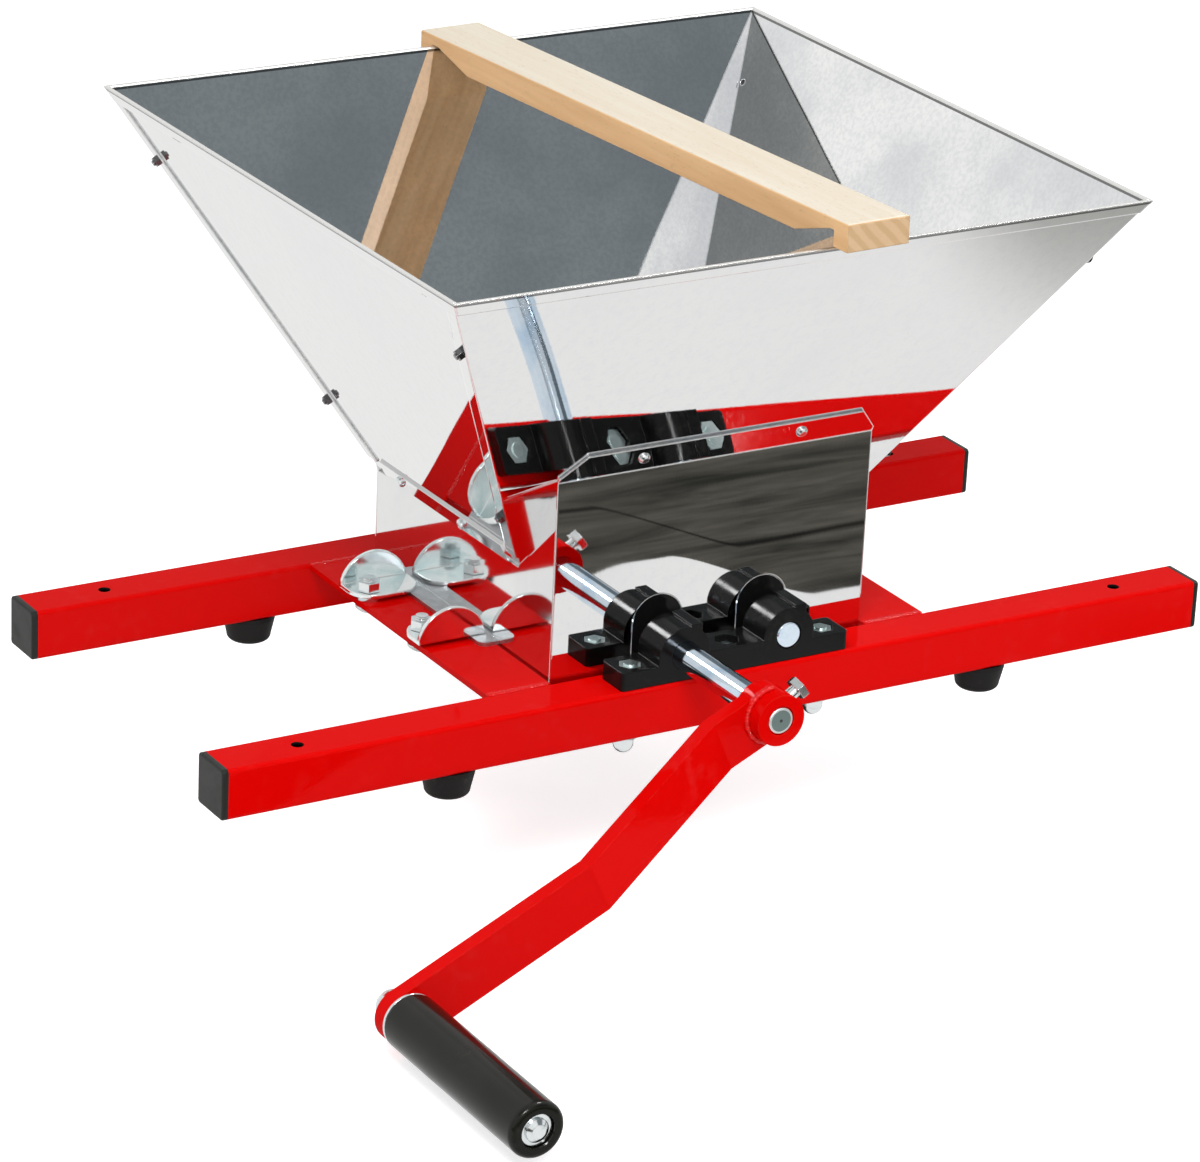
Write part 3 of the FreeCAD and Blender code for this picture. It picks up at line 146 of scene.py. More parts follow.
def vector_compute(tree, operation, *values):
    item = node(tree, "VectorMath", {"operation": operation})
    for socket, value in zip(item.inputs, values):
        put(tree, socket, value)
    return item.outputs["Value" if operation == "DOT_PRODUCT" else "Vector"]


def blend_colours(tree, factor, first, second):
    """Two colours mixed: a Mix node has its colours in inputs 6 and 7 and in output 2."""
    item = node(tree, "Mix", {"data_type": "RGBA"})
    for index, value in ((0, factor), (6, first), (7, second)):
        put(tree, item.inputs[index], value)
    return item.outputs[2]


def rescale(tree, value, low, high, to_low=0.0, to_high=1.0, smooth=False):
    item = node(tree, "MapRange", {"interpolation_type": "SMOOTHSTEP" if smooth else "LINEAR"},
                Value=value, From_Min=low, From_Max=high, To_Min=to_low, To_Max=to_high)
    return item.outputs["Result"]


def noise(tree, place, scale, detail=2.0, roughness=0.5, distortion=0.0):
    item = node(tree, "TexNoise", None, Vector=place, Scale=scale, Detail=detail,
                Roughness=roughness, Distortion=distortion)
    return item.outputs[0]


def stretched(tree, place, scale):
    return node(tree, "Mapping", None, Vector=place, Scale=scale).outputs["Vector"]


def along_axes(tree, vector):
    """The three parts of a vector, by X, Y and Z."""
    return node(tree, "SeparateXYZ", None, Vector=vector).outputs


def material(name, make):
    """A material whose make(tree) gives the shader socket."""
    item = bpy.data.materials.new(name)
    item.use_nodes = True
    tree = item.node_tree
    tree.nodes.clear()
    surface = node(tree, "OutputMaterial").inputs["Surface"]
    tree.links.new(make(tree), surface)
    return item


def principled(tree, **inputs):
    return node(tree, "BsdfPrincipled", None, **inputs).outputs["BSDF"]


def make_world():
    world = bpy.data.worlds.new("white surroundings")
    scene.world = world
    world.use_nodes = True
    tree = world.node_tree
    tree.nodes.clear()
    path = node(tree, "LightPath").outputs
    direction = node(tree, "TexCoord").outputs["Generated"]
    mirrored = SURROUND_MIRRORED
    for towards, start, full, dim_colour in DIM_AREAS:
        length = math.sqrt(sum(part * part for part in towards))
        centre = tuple(part / length for part in towards)
        facing = vector_compute(tree, "DOT_PRODUCT", direction, centre)
        dim = rescale(tree, facing, start, full, smooth=True)
        mirrored = blend_colours(tree, dim, mirrored, dim_colour)
    lighting = blend_colours(tree, path["Is Glossy Ray"], SURROUND_LIGHT, mirrored)
    seen = compute(tree, "MAXIMUM", path["Is Camera Ray"], path["Is Transmission Ray"])
    colour = blend_colours(tree, seen, lighting, WHITE)
    background = node(tree, "Background", None, Color=colour, Strength=1.0)
    output = node(tree, "OutputWorld")
    tree.links.new(background.outputs[0], output.inputs["Surface"])


def mirrored_floor(tree, place):
    """The floor's colour as polished faces mirror it."""
    axes = along_axes(tree, place)
    bends = [rescale(tree, axes["X"], *bend, smooth=True) for bend in BORDER_BENDS]
    wave = compute(tree, "MULTIPLY", noise(tree, place, scale=11, detail=1), BORDER_WAVE)
    border = compute(tree, "ADD", compute(tree, "ADD", *bends), wave)
    beyond = compute(tree, "SUBTRACT", compute(tree, "ADD", border, BORDER_Y), axes["Y"])
    grain = noise(tree, stretched(tree, place, (1.0, 6.0, 1.0)), scale=7, detail=4,
                  roughness=0.6, distortion=0.4)
    ground = blend_colours(tree, rescale(tree, grain, 0.35, 0.62), GROUND_DARK, GROUND_LIGHT)
    colour = blend_colours(tree, rescale(tree, beyond, 0.0, BORDER_SOFT), FLOOR_MIRRORED, ground)
    from_line = compute(tree, "ABSOLUTE", compute(tree, "SUBTRACT", beyond, LINE_PAST))
    line = rescale(tree, from_line, 0.001, 0.005, 0.85, 0.0)
    colour = blend_colours(tree, line, colour, LINE_COLOUR)
    # Painted shade: a grey patch at the right of the mirrored floor.
    painted_shade = compute(tree, "MULTIPLY", rescale(tree, axes["X"], *PAINTED_SHADE_SIDE, smooth=True),
                   rescale(tree, axes["Y"], *PAINTED_SHADE_BACK, 1, 0, smooth=True))
    painted_shade = compute(tree, "MULTIPLY", painted_shade, rescale(tree, axes["Y"], *PAINTED_SHADE_FRONT, smooth=True))
    colour = blend_colours(tree, painted_shade, colour, PAINTED_SHADE_COLOUR)
    reach = compute(tree, "MAXIMUM", compute(tree, "ABSOLUTE", axes["X"]),
                    compute(tree, "ABSOLUTE", axes["Y"]))
    shade = rescale(tree, reach, SHADE_FULL, SHADE_END, 1.0, 0.0, smooth=True)
    return blend_colours(tree, shade, colour, SHADE_COLOUR)


def floor_look(tree):
    """White to the camera, with the mill's shadow; polished faces mirror mirrored_floor."""
    path = node(tree, "LightPath").outputs
    lit = principled(tree, Base_Color=FLOOR_COLOUR, Roughness=0.9)
    strength = compute(tree, "MULTIPLY", path["Is Camera Ray"], FLOOR_GLOW)
    glow = node(tree, "Emission", None, Color=WHITE, Strength=strength).outputs[0]
    white = node(tree, "AddShader")
    tree.links.new(lit, white.inputs[0])
    tree.links.new(glow, white.inputs[1])
    place = node(tree, "NewGeometry").outputs["Position"]
    mirrored = node(tree, "Emission", None, Color=mirrored_floor(tree, place), Strength=1.0)
    choice = node(tree, "MixShader", None, Fac=path["Is Glossy Ray"])
    tree.links.new(white.outputs[0], choice.inputs[1])
    tree.links.new(mirrored.outputs[0], choice.inputs[2])
    return choice.outputs[0]


def make_floor():
    mesh = bpy.data.meshes.new("floor")
    half = FLOOR_SIZE / 2
    corners = [(x * half, y * half, FLOOR_LEVEL) for x, y in ((-1, -1), (1, -1), (1, 1), (-1, 1))]
    mesh.from_pydata(corners, [], [(0, 1, 2, 3)])
    floor = bpy.data.objects.new("floor", mesh)
    scene.collection.objects.link(floor)
    mesh.materials.append(material("white floor", floor_look))


def add_lamp(name, place, size, power, colour=(1, 1, 1)):
    """A square lamp that points at the mill's middle."""
    lamp = bpy.data.lights.new(name, "AREA")
    lamp.size = size
    lamp.energy = power
    lamp.color = colour
    item = bpy.data.objects.new(name, lamp)
    scene.collection.objects.link(item)
    forward = (Vector(MILL_MIDDLE) - Vector(place)).normalized()
    right = forward.cross(Vector((0, 0, 1))).normalized()
    item.matrix_world = aimed(place, right, right.cross(forward))
    return item


make_world()
make_floor()
key = add_lamp("key lamp", (-0.9, -1.3, 2.2), 1.2, 46, WARM_WHITE)
key.visible_glossy = False
fill = add_lamp("fill lamp", (2.0, -0.9, 1.3), 1.6, 16, COOL_WHITE)
fill.visible_glossy = False
for place, size, power in SOFT_BOXES:
    shine = add_lamp("soft box", place, size, power)
    shine.visible_diffuse = False


# Shared effects: edge masks for wear and for painted shade, handling marks and directional
# scratches. They give masks, values and normals, and each material decides what they do.
def new_group(name, inputs, outputs):
    """A node group with (kind, name, start value) inputs and (kind, name) outputs."""
    tree = bpy.data.node_groups.new(name, "ShaderNodeTree")
    for kind, label, value in inputs:
        socket = tree.interface.new_socket(label, in_out="INPUT", socket_type="NodeSocket" + kind)
        socket.default_value = value
    for kind, label in outputs:
        tree.interface.new_socket(label, in_out="OUTPUT", socket_type="NodeSocket" + kind)
    return tree, tree.nodes.new("NodeGroupInput").outputs, tree.nodes.new("NodeGroupOutput").inputs


def object_place(tree):
    return node(tree, "TexCoord").outputs["Object"]


def make_edges_group():
    """A broken mask along rounded edges, which marks wear and, on the caps, painted shade, and a
    normal that rounds the edge over.
    """
    tree, given, out = new_group(
        "edges", [("Float", "Radius", 0.001), ("Float", "Breakup", 300.0)],
        [("Float", "Mask"), ("Vector", "Normal")])
    soft = node(tree, "Bevel", {"samples": 6}, Radius=given["Radius"]).outputs["Normal"]
    plain = node(tree, "NewGeometry").outputs["Normal"]
    apart = compute(tree, "SUBTRACT", 1.0, vector_compute(tree, "DOT_PRODUCT", soft, plain))
    broken = noise(tree, object_place(tree), scale=given["Breakup"], detail=3)
    mask = compute(tree, "MULTIPLY", rescale(tree, apart, 0.01, 0.16, smooth=True),
                   rescale(tree, broken, 0.35, 0.65))
    put(tree, out["Mask"], mask)
    put(tree, out["Normal"], soft)


def make_handling_group():
    """Smudges left by hands, and finer dust within them."""
    tree, given, out = new_group(
        "handling", [("Float", "Size", 12.0)], [("Float", "Smudge"), ("Float", "Dust")])
    place = object_place(tree)
    broad = noise(tree, place, scale=given["Size"], detail=4, roughness=0.62, distortion=0.6)
    fine = noise(tree, place, scale=compute(tree, "MULTIPLY", given["Size"], 9.0), detail=3)
    put(tree, out["Smudge"], rescale(tree, broad, 0.42, 0.72, smooth=True))
    dust = compute(tree, "MULTIPLY", rescale(tree, broad, 0.5, 0.7), rescale(tree, fine, 0.5, 0.75))
    put(tree, out["Dust"], dust)


def make_scratches_group():
    """The height of fine lines that run along the least stretched axis."""
    tree, given, out = new_group(
        "scratches", [("Vector", "Stretch", (1.0, 1.0, 1.0)), ("Float", "Scale", 400.0)],
        [("Float", "Height")])
    place = vector_compute(tree, "MULTIPLY", object_place(tree), given["Stretch"])
    put(tree, out["Height"], noise(tree, place, scale=given["Scale"], detail=3, roughness=0.6))


make_edges_group()
make_handling_group()
make_scratches_group()


# Frame: two square tubes and two cross plates of mild steel, welded and then painted gloss red
# in one colour, so the welds are red too. No paint reached the inside of the tubes.
RAIL_SIDE = 0.025
RAIL_Y = 0.203 / 2
RAIL_INNER = RAIL_Y - RAIL_SIDE / 2
TUBE_INSIDE = 0.0111
HOLE_REACH = 0.0045
HOLE_DEPTH = 0.0017
UPRIGHT = 0.3
RED = (0.68, 0.0015, 0.001, 1)
RED_WORN = (0.78, 0.05, 0.035, 1)
RED_DUST = (0.7, 0.62, 0.58, 1)
BARE_INSIDE = (0.012, 0.011, 0.010, 1)
ENAMEL_COAT = 0.11
PEEL_STRENGTH = 0.10
PEEL_DEPTH = 0.0004
# Paint runs thicker over the weld beads, so they shine more.
WELD_COAT = 0.7
DROP_SPREAD = 0.12
DROP_TURN = 2.4
DROP_START = 5
DROP_HEIGHT = 0.85
PLATE_WELD_X = (0.0895, 0.1205)
PLATE_WELD_STEPS = 15
PLATE_WELD_RADIUS = 0.0016
PLATE_WELD_SUNK = 0.0006


def bump(tree, height, strength, distance, normal=None):
    item = node(tree, "Bump", None, Height=height, Strength=strength, Distance=distance)
    if normal is not None:
        put(tree, item.inputs["Normal"], normal)
    return item.outputs["Normal"]


def between(tree, mask, at_none, at_full):
    """A number that changes with a mask from 0 to 1."""
    return rescale(tree, mask, 0, 1, at_none, at_full)


def group(tree, name, **inputs):
    """The outputs of a shared effect with its own values."""
    item = tree.nodes.new("ShaderNodeGroup")
    item.node_tree = bpy.data.node_groups[name]
    for key, value in inputs.items():
        put(tree, item.inputs[key], value)
    return item.outputs


def face_direction(tree):
    return along_axes(tree, node(tree, "NewGeometry").outputs["True Normal"])


def dress(look, *names):
    for name in names:
        for slot in nodes[name].material_slots:
            slot.material = look


def inside_tube(tree):
    """1 inside the rails and in their holes, where no paint reached."""
    axes = along_axes(tree, object_place(tree))
    across = compute(tree, "SUBTRACT", compute(tree, "ABSOLUTE", axes["Y"]), RAIL_Y)
    upright = compute(tree, "SUBTRACT", axes["Z"], -RAIL_SIDE / 2)
    reach = compute(tree, "MAXIMUM", compute(tree, "ABSOLUTE", across),
                    compute(tree, "ABSOLUTE", upright))
    inside = compute(tree, "LESS_THAN", reach, TUBE_INSIDE)
    tilt = compute(tree, "ABSOLUTE", face_direction(tree)["Z"])
    hole = compute(tree, "LESS_THAN", tilt, UPRIGHT)
    for distance, limit in ((across, HOLE_REACH), (axes["Z"], HOLE_DEPTH)):
        near = compute(tree, "LESS_THAN", compute(tree, "ABSOLUTE", distance), limit)
        hole = compute(tree, "MULTIPLY", hole, near)
    return compute(tree, "MAXIMUM", inside, hole)


def red_paint(tree, coat=ENAMEL_COAT):
    edges = group(tree, "edges", Radius=0.0009, Breakup=180.0)
    marks = group(tree, "handling", Size=14.0)
    colour = blend_colours(tree, compute(tree, "MULTIPLY", edges["Mask"], 0.35), RED, RED_WORN)
    colour = blend_colours(tree, compute(tree, "MULTIPLY", marks["Dust"], 0.02), colour, RED_DUST)
    colour = blend_colours(tree, inside_tube(tree), colour, BARE_INSIDE)
    peel = noise(tree, object_place(tree), scale=420, detail=2)
    return principled(tree, Base_Color=colour, Specular_IOR_Level=0.0, Coat_Weight=coat,
                      Normal=bump(tree, peel, PEEL_STRENGTH, PEEL_DEPTH, edges["Normal"]),
                      Coat_Normal=bump(tree, peel, PEEL_STRENGTH, PEEL_DEPTH),
                      Roughness=between(tree, marks["Smudge"], 0.30, 0.40),
                      Coat_Roughness=0.035)


def make_bead(name, path, radius, body):
    """A weld bead along a path: overlapping flattened drops, each a little off the last."""
    mesh = bmesh.new()
    for index, point in enumerate(path):
        size = radius * (1 + math.sin(index * DROP_TURN + DROP_START) * DROP_SPREAD)
        made = bmesh.ops.create_uvsphere(mesh, u_segments=12, v_segments=8, radius=size)
        place = Matrix.Translation(point) @ Matrix.Diagonal((1, 1, DROP_HEIGHT, 1))
        bmesh.ops.transform(mesh, matrix=place, verts=made["verts"])
    data = bpy.data.meshes.new(name)
    mesh.to_mesh(data)
    mesh.free()
    data.shade_smooth()
    data.materials.append(WELD_LOOK)
    bead = bpy.data.objects.new(name, data)
    scene.collection.objects.link(bead)
    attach(bead, body)


def make_plate_weld(name, side, end):
    first, last = (side * x for x in PLATE_WELD_X)
    path = [(first + (last - first) * k / PLATE_WELD_STEPS,
             end * (RAIL_INNER - PLATE_WELD_SUNK), -PLATE_WELD_SUNK)
            for k in range(PLATE_WELD_STEPS + 1)]
    make_bead(name, path, PLATE_WELD_RADIUS, "frame")


RED_LOOK = material("gloss red enamel", red_paint)
WELD_LOOK = material("thick gloss red enamel", lambda tree: red_paint(tree, WELD_COAT))
dress(RED_LOOK, "front_rail", "back_rail", "left_cross_plate", "right_cross_plate")
for side, side_name in ((-1, "left"), (1, "right")):
    for end, end_name in ((-1, "front"), (1, "back")):
        make_plate_weld("weld_%s_%s" % (side_name, end_name), side, end)


# Tube caps and feet: black plastic caps pushed into the rail ends, with a grained skin and
# edges painted darker as shade, and black rubber feet screwed under the rails.
CAP_BLACK = (0.014, 0.016, 0.014, 1)
CAP_DUST = (0.03, 0.03, 0.028, 1)
CAP_EDGE_SHADE = (0.003, 0.003, 0.003, 1)
RUBBER_BLACK = (0.007, 0.006, 0.006, 1)
RUBBER_DUST = (0.03, 0.028, 0.025, 1)
CORNERS = ("front_left", "front_right", "back_left", "back_right")


def cap_plastic(tree):
    edges = group(tree, "edges", Radius=0.0014, Breakup=250.0)
    marks = group(tree, "handling", Size=40.0)
    colour = blend_colours(tree, marks["Dust"], CAP_BLACK, CAP_DUST)
    # Painted shade: the caps' rounded edges are darkened.
    colour = blend_colours(tree, edges["Mask"], colour, CAP_EDGE_SHADE)
    grain = noise(tree, object_place(tree), scale=1500, detail=2)
    normal = bump(tree, grain, strength=0.12, distance=0.0002, normal=edges["Normal"])
    return principled(tree, Base_Color=colour, Normal=normal, Specular_IOR_Level=0.25,
                      Roughness=between(tree, marks["Smudge"], 0.42, 0.55))


def foot_rubber(tree):
    marks = group(tree, "handling", Size=60.0)
    colour = blend_colours(tree, marks["Dust"], RUBBER_BLACK, RUBBER_DUST)
    grain = noise(tree, object_place(tree), scale=900, detail=3)
    normal = bump(tree, grain, strength=0.2, distance=0.0002)
    return principled(tree, Base_Color=colour, Normal=normal, Specular_IOR_Level=0.2,
                      Roughness=0.6)


dress(material("matt black plastic", cap_plastic), *["rail_cap_" + corner for corner in CORNERS])
dress(material("black rubber", foot_rubber), *["foot_" + corner for corner in CORNERS])


# Bearing blocks: one moulding of black engineering plastic for both shafts, with a satin skin.
# Three bolts hold each block down on its rail.
BLOCK_BLACK = (0.006, 0.006, 0.006, 1)
BLOCK_DUST = (0.02, 0.02, 0.018, 1)
BLOCK_RUBBED = (0.025, 0.026, 0.027, 1)


def block_plastic(tree):
    edges = group(tree, "edges", Radius=0.0008, Breakup=260.0)
    marks = group(tree, "handling", Size=26.0)
    colour = blend_colours(tree, marks["Dust"], BLOCK_BLACK, BLOCK_DUST)
    colour = blend_colours(tree, compute(tree, "MULTIPLY", edges["Mask"], 0.5), colour,
                           BLOCK_RUBBED)
    grain = noise(tree, object_place(tree), scale=1300, detail=2)
    normal = bump(tree, grain, strength=0.10, distance=0.0002, normal=edges["Normal"])
    return principled(tree, Base_Color=colour, Normal=normal, Specular_IOR_Level=0.14,
                      Roughness=between(tree, marks["Smudge"], 0.15, 0.24))


BLOCK_LOOK = material("black bearing plastic", block_plastic)
dress(BLOCK_LOOK, "front_bearing_block", "back_bearing_block")


# Fasteners: steel screws, bolts, nuts and washers, zinc-plated. The plating is paler on the
# blocks' bolts and darker on the seam studs, and the clamps' bolts show their thread.
ZINC = (0.80, 0.83, 0.84, 1)
ZINC_SMUDGED = (0.62, 0.68, 0.70, 1)
PALE_ZINC = (0.78, 0.89, 0.88, 1)
PALE_ZINC_SMUDGED = (0.58, 0.71, 0.70, 1)
DARK_ZINC = (0.22, 0.22, 0.23, 1)
DARK_ZINC_SMUDGED = (0.12, 0.12, 0.13, 1)
THREAD_PITCH = 0.001
THREAD_DEPTH = 0.0003


def zinc_base(tree, normal=None):
    marks = group(tree, "handling", Size=90.0)
    if normal is None:
        normal = group(tree, "edges", Radius=0.0004, Breakup=300.0)["Normal"]
    return principled(tree, Metallic=1.0, Normal=normal,
                      Base_Color=blend_colours(tree, marks["Smudge"], ZINC, ZINC_SMUDGED),
                      Roughness=between(tree, marks["Smudge"], 0.14, 0.24))


def threaded_zinc(tree):
    height = along_axes(tree, object_place(tree))["Z"]
    ridge = compute(tree, "SINE", compute(tree, "MULTIPLY", height, 2 * math.pi / THREAD_PITCH))
    return zinc_base(tree, bump(tree, ridge, strength=0.9, distance=THREAD_DEPTH))


def even_zinc(tree, clean, smudged, roughness, edge):
    """Plating of one roughness, with edges rounded over by a radius."""
    marks = group(tree, "handling", Size=90.0)
    return principled(tree, Metallic=1.0, Roughness=roughness,
                      Base_Color=blend_colours(tree, marks["Smudge"], clean, smudged),
                      Normal=group(tree, "edges", Radius=edge, Breakup=300.0)["Normal"])


def pale_zinc(tree):
    return even_zinc(tree, PALE_ZINC, PALE_ZINC_SMUDGED, 0.28, 0.0002)


def dark_zinc(tree):
    return even_zinc(tree, DARK_ZINC, DARK_ZINC_SMUDGED, 0.16, 0.0003)


ZINC_LOOK = material("bright zinc plating", zinc_base)
dress(ZINC_LOOK, "panel_screws", "clamp_washers", "clamp_nuts", "foot_screws", "hub_set_bolt",
      "grip_washers", "grip_nut", "grip_bolt")
dress(material("zinc-plated thread", threaded_zinc), "clamp_bolts")
dress(material("pale zinc plating", pale_zinc), "block_nuts", "block_bolts")
dress(material("dark zinc plating", dark_zinc), "seam_screws", "seam_nuts")


# Bolt ends: the blocks' bolts come out below the rails and end in closed, domed zinc caps,
# turned in one piece.
TURN_STEPS = 40
DOME_STEPS = 8
CREASE = math.radians(35)
BOLT_SPACING = 0.0533
BLOCK_MIDDLE = 0.1001
BOLT_CAP_RADIUS = 0.005
BOLT_CAP_STRAIGHT = 0.007


def finish_mesh(name, mesh, body, look):
    data = bpy.data.meshes.new(name)
    mesh.to_mesh(data)
    mesh.free()
    data.shade_smooth()
    data.set_sharp_from_angle(angle=CREASE)
    data.materials.append(look)
    piece = bpy.data.objects.new(name, data)
    scene.collection.objects.link(piece)
    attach(piece, body)


def make_turned(name, profile, place, axis, body, look, loop=False):
    """(radius, height) points turned round an axis; a loop closes on itself, like a ring."""
    mesh = bmesh.new()
    angles = [2 * math.pi * k / TURN_STEPS for k in range(TURN_STEPS)]
    rings = []
    for radius, height in profile:
        if radius == 0:
            rings.append([mesh.verts.new((0, 0, height))] * TURN_STEPS)
        else:
            rings.append([mesh.verts.new((radius * math.cos(a), radius * math.sin(a), height))
                          for a in angles])
    for low, high in zip(rings, rings[1:] + (rings[:1] if loop else [])):
        for k in range(TURN_STEPS):
            after = (k + 1) % TURN_STEPS
            mesh.faces.new(dict.fromkeys((low[k], low[after], high[after], high[k])))
    bmesh.ops.recalc_face_normals(mesh, faces=mesh.faces)
    turn = Vector((0, 0, 1)).rotation_difference(Vector(axis)).to_matrix().to_4x4()
    bmesh.ops.transform(mesh, matrix=Matrix.Translation(place) @ turn, verts=mesh.verts)
    finish_mesh(name, mesh, body, look)


def domed(radius, straight):
    """The profile of a round cap: a straight side and a half-round end."""
    arc = [math.pi / 2 * k / DOME_STEPS for k in range(DOME_STEPS)]
    return ([(0, 0), (radius, 0)]
            + [(radius * math.cos(angle), straight + radius * math.sin(angle)) for angle in arc]
            + [(0, straight + radius)])


for end, end_name in ((-1, "front"), (1, "back")):
    for index in (-1, 0, 1):
        make_turned("bolt_cap_%s_%d" % (end_name, index + 2),
                    domed(BOLT_CAP_RADIUS, BOLT_CAP_STRAIGHT),
                    (index * BOLT_SPACING, end * BLOCK_MIDDLE, -RAIL_SIDE), (0, 0, -1),
                    "frame", ZINC_LOOK)


# Shafts, keys and rings: ground bright steel, tinted blue as a painted reflection, with faint
# rings left by the lathe. The drive shaft's front end was faced; on it a bright rim is painted as
# a highlight, and a duller middle and a centre point are painted darker as shade.
SHAFT_X = 0.029
SHAFT_Z = 0.013
END_DEPTH = 0.0003
END_RIM = 0.0072
END_MIDDLE = 0.0052
END_POINT = 0.0008
SHAFT_METAL_BLUE_REFLECTION = (0.74, 0.84, 0.94, 1)
SHAFT_METAL_SMUDGED_BLUE_REFLECTION = (0.50, 0.66, 0.84, 1)
RIM_PAINTED_HIGHLIGHT = (0.96, 0.98, 0.98, 1)
MIDDLE_PAINTED_SHADE = (0.30, 0.39, 0.38, 1)
POINT_PAINTED_SHADE = (0.10, 0.11, 0.11, 1)
FACED_ROUGHNESS = 0.46


def crank_end(tree):
    """Masks of the drive shaft's front end, for its painted highlight and shade: all of it, its
    middle, and the centre point.
    """
    axes = along_axes(tree, object_place(tree))
    from_axis = (compute(tree, "SUBTRACT", axes["X"], -SHAFT_X),
                 compute(tree, "SUBTRACT", axes["Z"], SHAFT_Z))
    squares = [compute(tree, "MULTIPLY", part, part) for part in from_axis]
    radius = compute(tree, "SQRT", compute(tree, "ADD", *squares))
    front = compute(tree, "LESS_THAN", axes["Y"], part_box("drive_shaft")[0][1] + END_DEPTH)
    return [compute(tree, "MULTIPLY", front, compute(tree, "LESS_THAN", radius, limit))
            for limit in (END_RIM, END_MIDDLE, END_POINT)]


def bright_steel(tree):
    edges = group(tree, "edges", Radius=0.0005, Breakup=200.0)
    marks = group(tree, "handling", Size=35.0)
    rings = group(tree, "scratches", Stretch=(0.05, 1.0, 0.05), Scale=2600.0)
    # The blue tint is a painted reflection; smudges make it darker.
    colour = blend_colours(tree, marks["Smudge"], SHAFT_METAL_BLUE_REFLECTION, SHAFT_METAL_SMUDGED_BLUE_REFLECTION)
    front, middle, point = crank_end(tree)
    # Painted highlight on the rim; painted shade on the middle and the centre point.
    for mask, end_colour in ((front, RIM_PAINTED_HIGHLIGHT), (middle, MIDDLE_PAINTED_SHADE), (point, POINT_PAINTED_SHADE)):
        colour = blend_colours(tree, mask, colour, end_colour)
    polish = between(tree, marks["Smudge"], 0.07, 0.13)
    faced = compute(tree, "MULTIPLY", front, FACED_ROUGHNESS)
    normal = bump(tree, rings["Height"], strength=0.05, distance=0.0001, normal=edges["Normal"])
    return principled(tree, Base_Color=colour, Metallic=1.0, Normal=normal,
                      Roughness=compute(tree, "MAXIMUM", polish, faced))


dress(material("ground bright steel", bright_steel), "drive_shaft", "idler_shaft",
      "drive_blade_key", "idler_blade_key", "drive_gear_key", "idler_gear_key",
      "drive_gear_ring", "idler_gear_ring")


# Blades and gears: cut from steel plate and machined. The gears are left satin, and the blade
# wheels and their spacers are painted near black as shade, with brighter rubbed edges.
SATIN = ((0.60, 0.60, 0.61, 1), (0.48, 0.48, 0.49, 1), (0.75, 0.75, 0.75, 1))
SHADE_DARKENED = ((0.035, 0.036, 0.038, 1), (0.022, 0.022, 0.024, 1), (0.16, 0.16, 0.16, 1))


def machined(tree, clean, marked, rubbed):
    edges = group(tree, "edges", Radius=0.0006, Breakup=220.0)
    marks = group(tree, "handling", Size=30.0)
    lines = group(tree, "scratches", Stretch=(0.15, 1.0, 1.0), Scale=700.0)
    colour = blend_colours(tree, marks["Smudge"], clean, marked)
    colour = blend_colours(tree, edges["Mask"], colour, rubbed)
    normal = bump(tree, lines["Height"], strength=0.12, distance=0.0002, normal=edges["Normal"])
    return principled(tree, Base_Color=colour, Metallic=1.0, Normal=normal,
                      Roughness=between(tree, marks["Smudge"], 0.30, 0.42))


dress(material("machined satin steel", lambda tree: machined(tree, *SATIN)),
      "drive_gear", "idler_gear")
# Painted shade: the blades and spacers are darkened so the chamber's inside looks dark.
dress(material("steel darkened as painted shade", lambda tree: machined(tree, *SHADE_DARKENED)),
      "drive_blades", "idler_blades", "drive_spacers", "idler_spacers")


# Chamber sides: polished sheet above, with a duller galvanised tab outside for the clamps. The
# tab is bent level, so it is the only low part of the sheet that reaches so far out.
TAB_LENGTH = 0.0098
TAB_START = -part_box("chamber_left_wall")[0][0] - TAB_LENGTH
TAB_TOP = 0.0025
POLISHED = (0.80, 0.80, 0.80, 1)
SIDE_SMUDGED = (0.74, 0.74, 0.75, 1)
SPANGLE_DARK = (0.42, 0.43, 0.45, 1)
SPANGLE_LIGHT = (0.52, 0.53, 0.55, 1)


def chamber_side(tree):
    marks = group(tree, "handling", Size=18.0)
    place = object_place(tree)
    axes = along_axes(tree, place)
    tab = compute(tree, "GREATER_THAN", compute(tree, "ABSOLUTE", axes["X"]), TAB_START)
    tab = compute(tree, "MULTIPLY", tab, compute(tree, "LESS_THAN", axes["Z"], TAB_TOP))
    polished = blend_colours(tree, marks["Smudge"], POLISHED, SIDE_SMUDGED)
    spangle = node(tree, "TexVoronoi", None, Vector=place, Scale=260.0).outputs["Color"]
    level = node(tree, "SeparateColor", None, Color=spangle).outputs[0]
    dull = blend_colours(tree, level, SPANGLE_DARK, SPANGLE_LIGHT)
    waves = noise(tree, place, scale=9, detail=1)
    return principled(tree, Base_Color=blend_colours(tree, tab, polished, dull), Metallic=1.0,
                      Roughness=between(tree, tab, 0.05, 0.36),
                      Normal=bump(tree, waves, strength=0.15, distance=0.0008))


dress(material("chamber sheet with zinc tab", chamber_side),
      "chamber_left_wall", "chamber_right_wall")


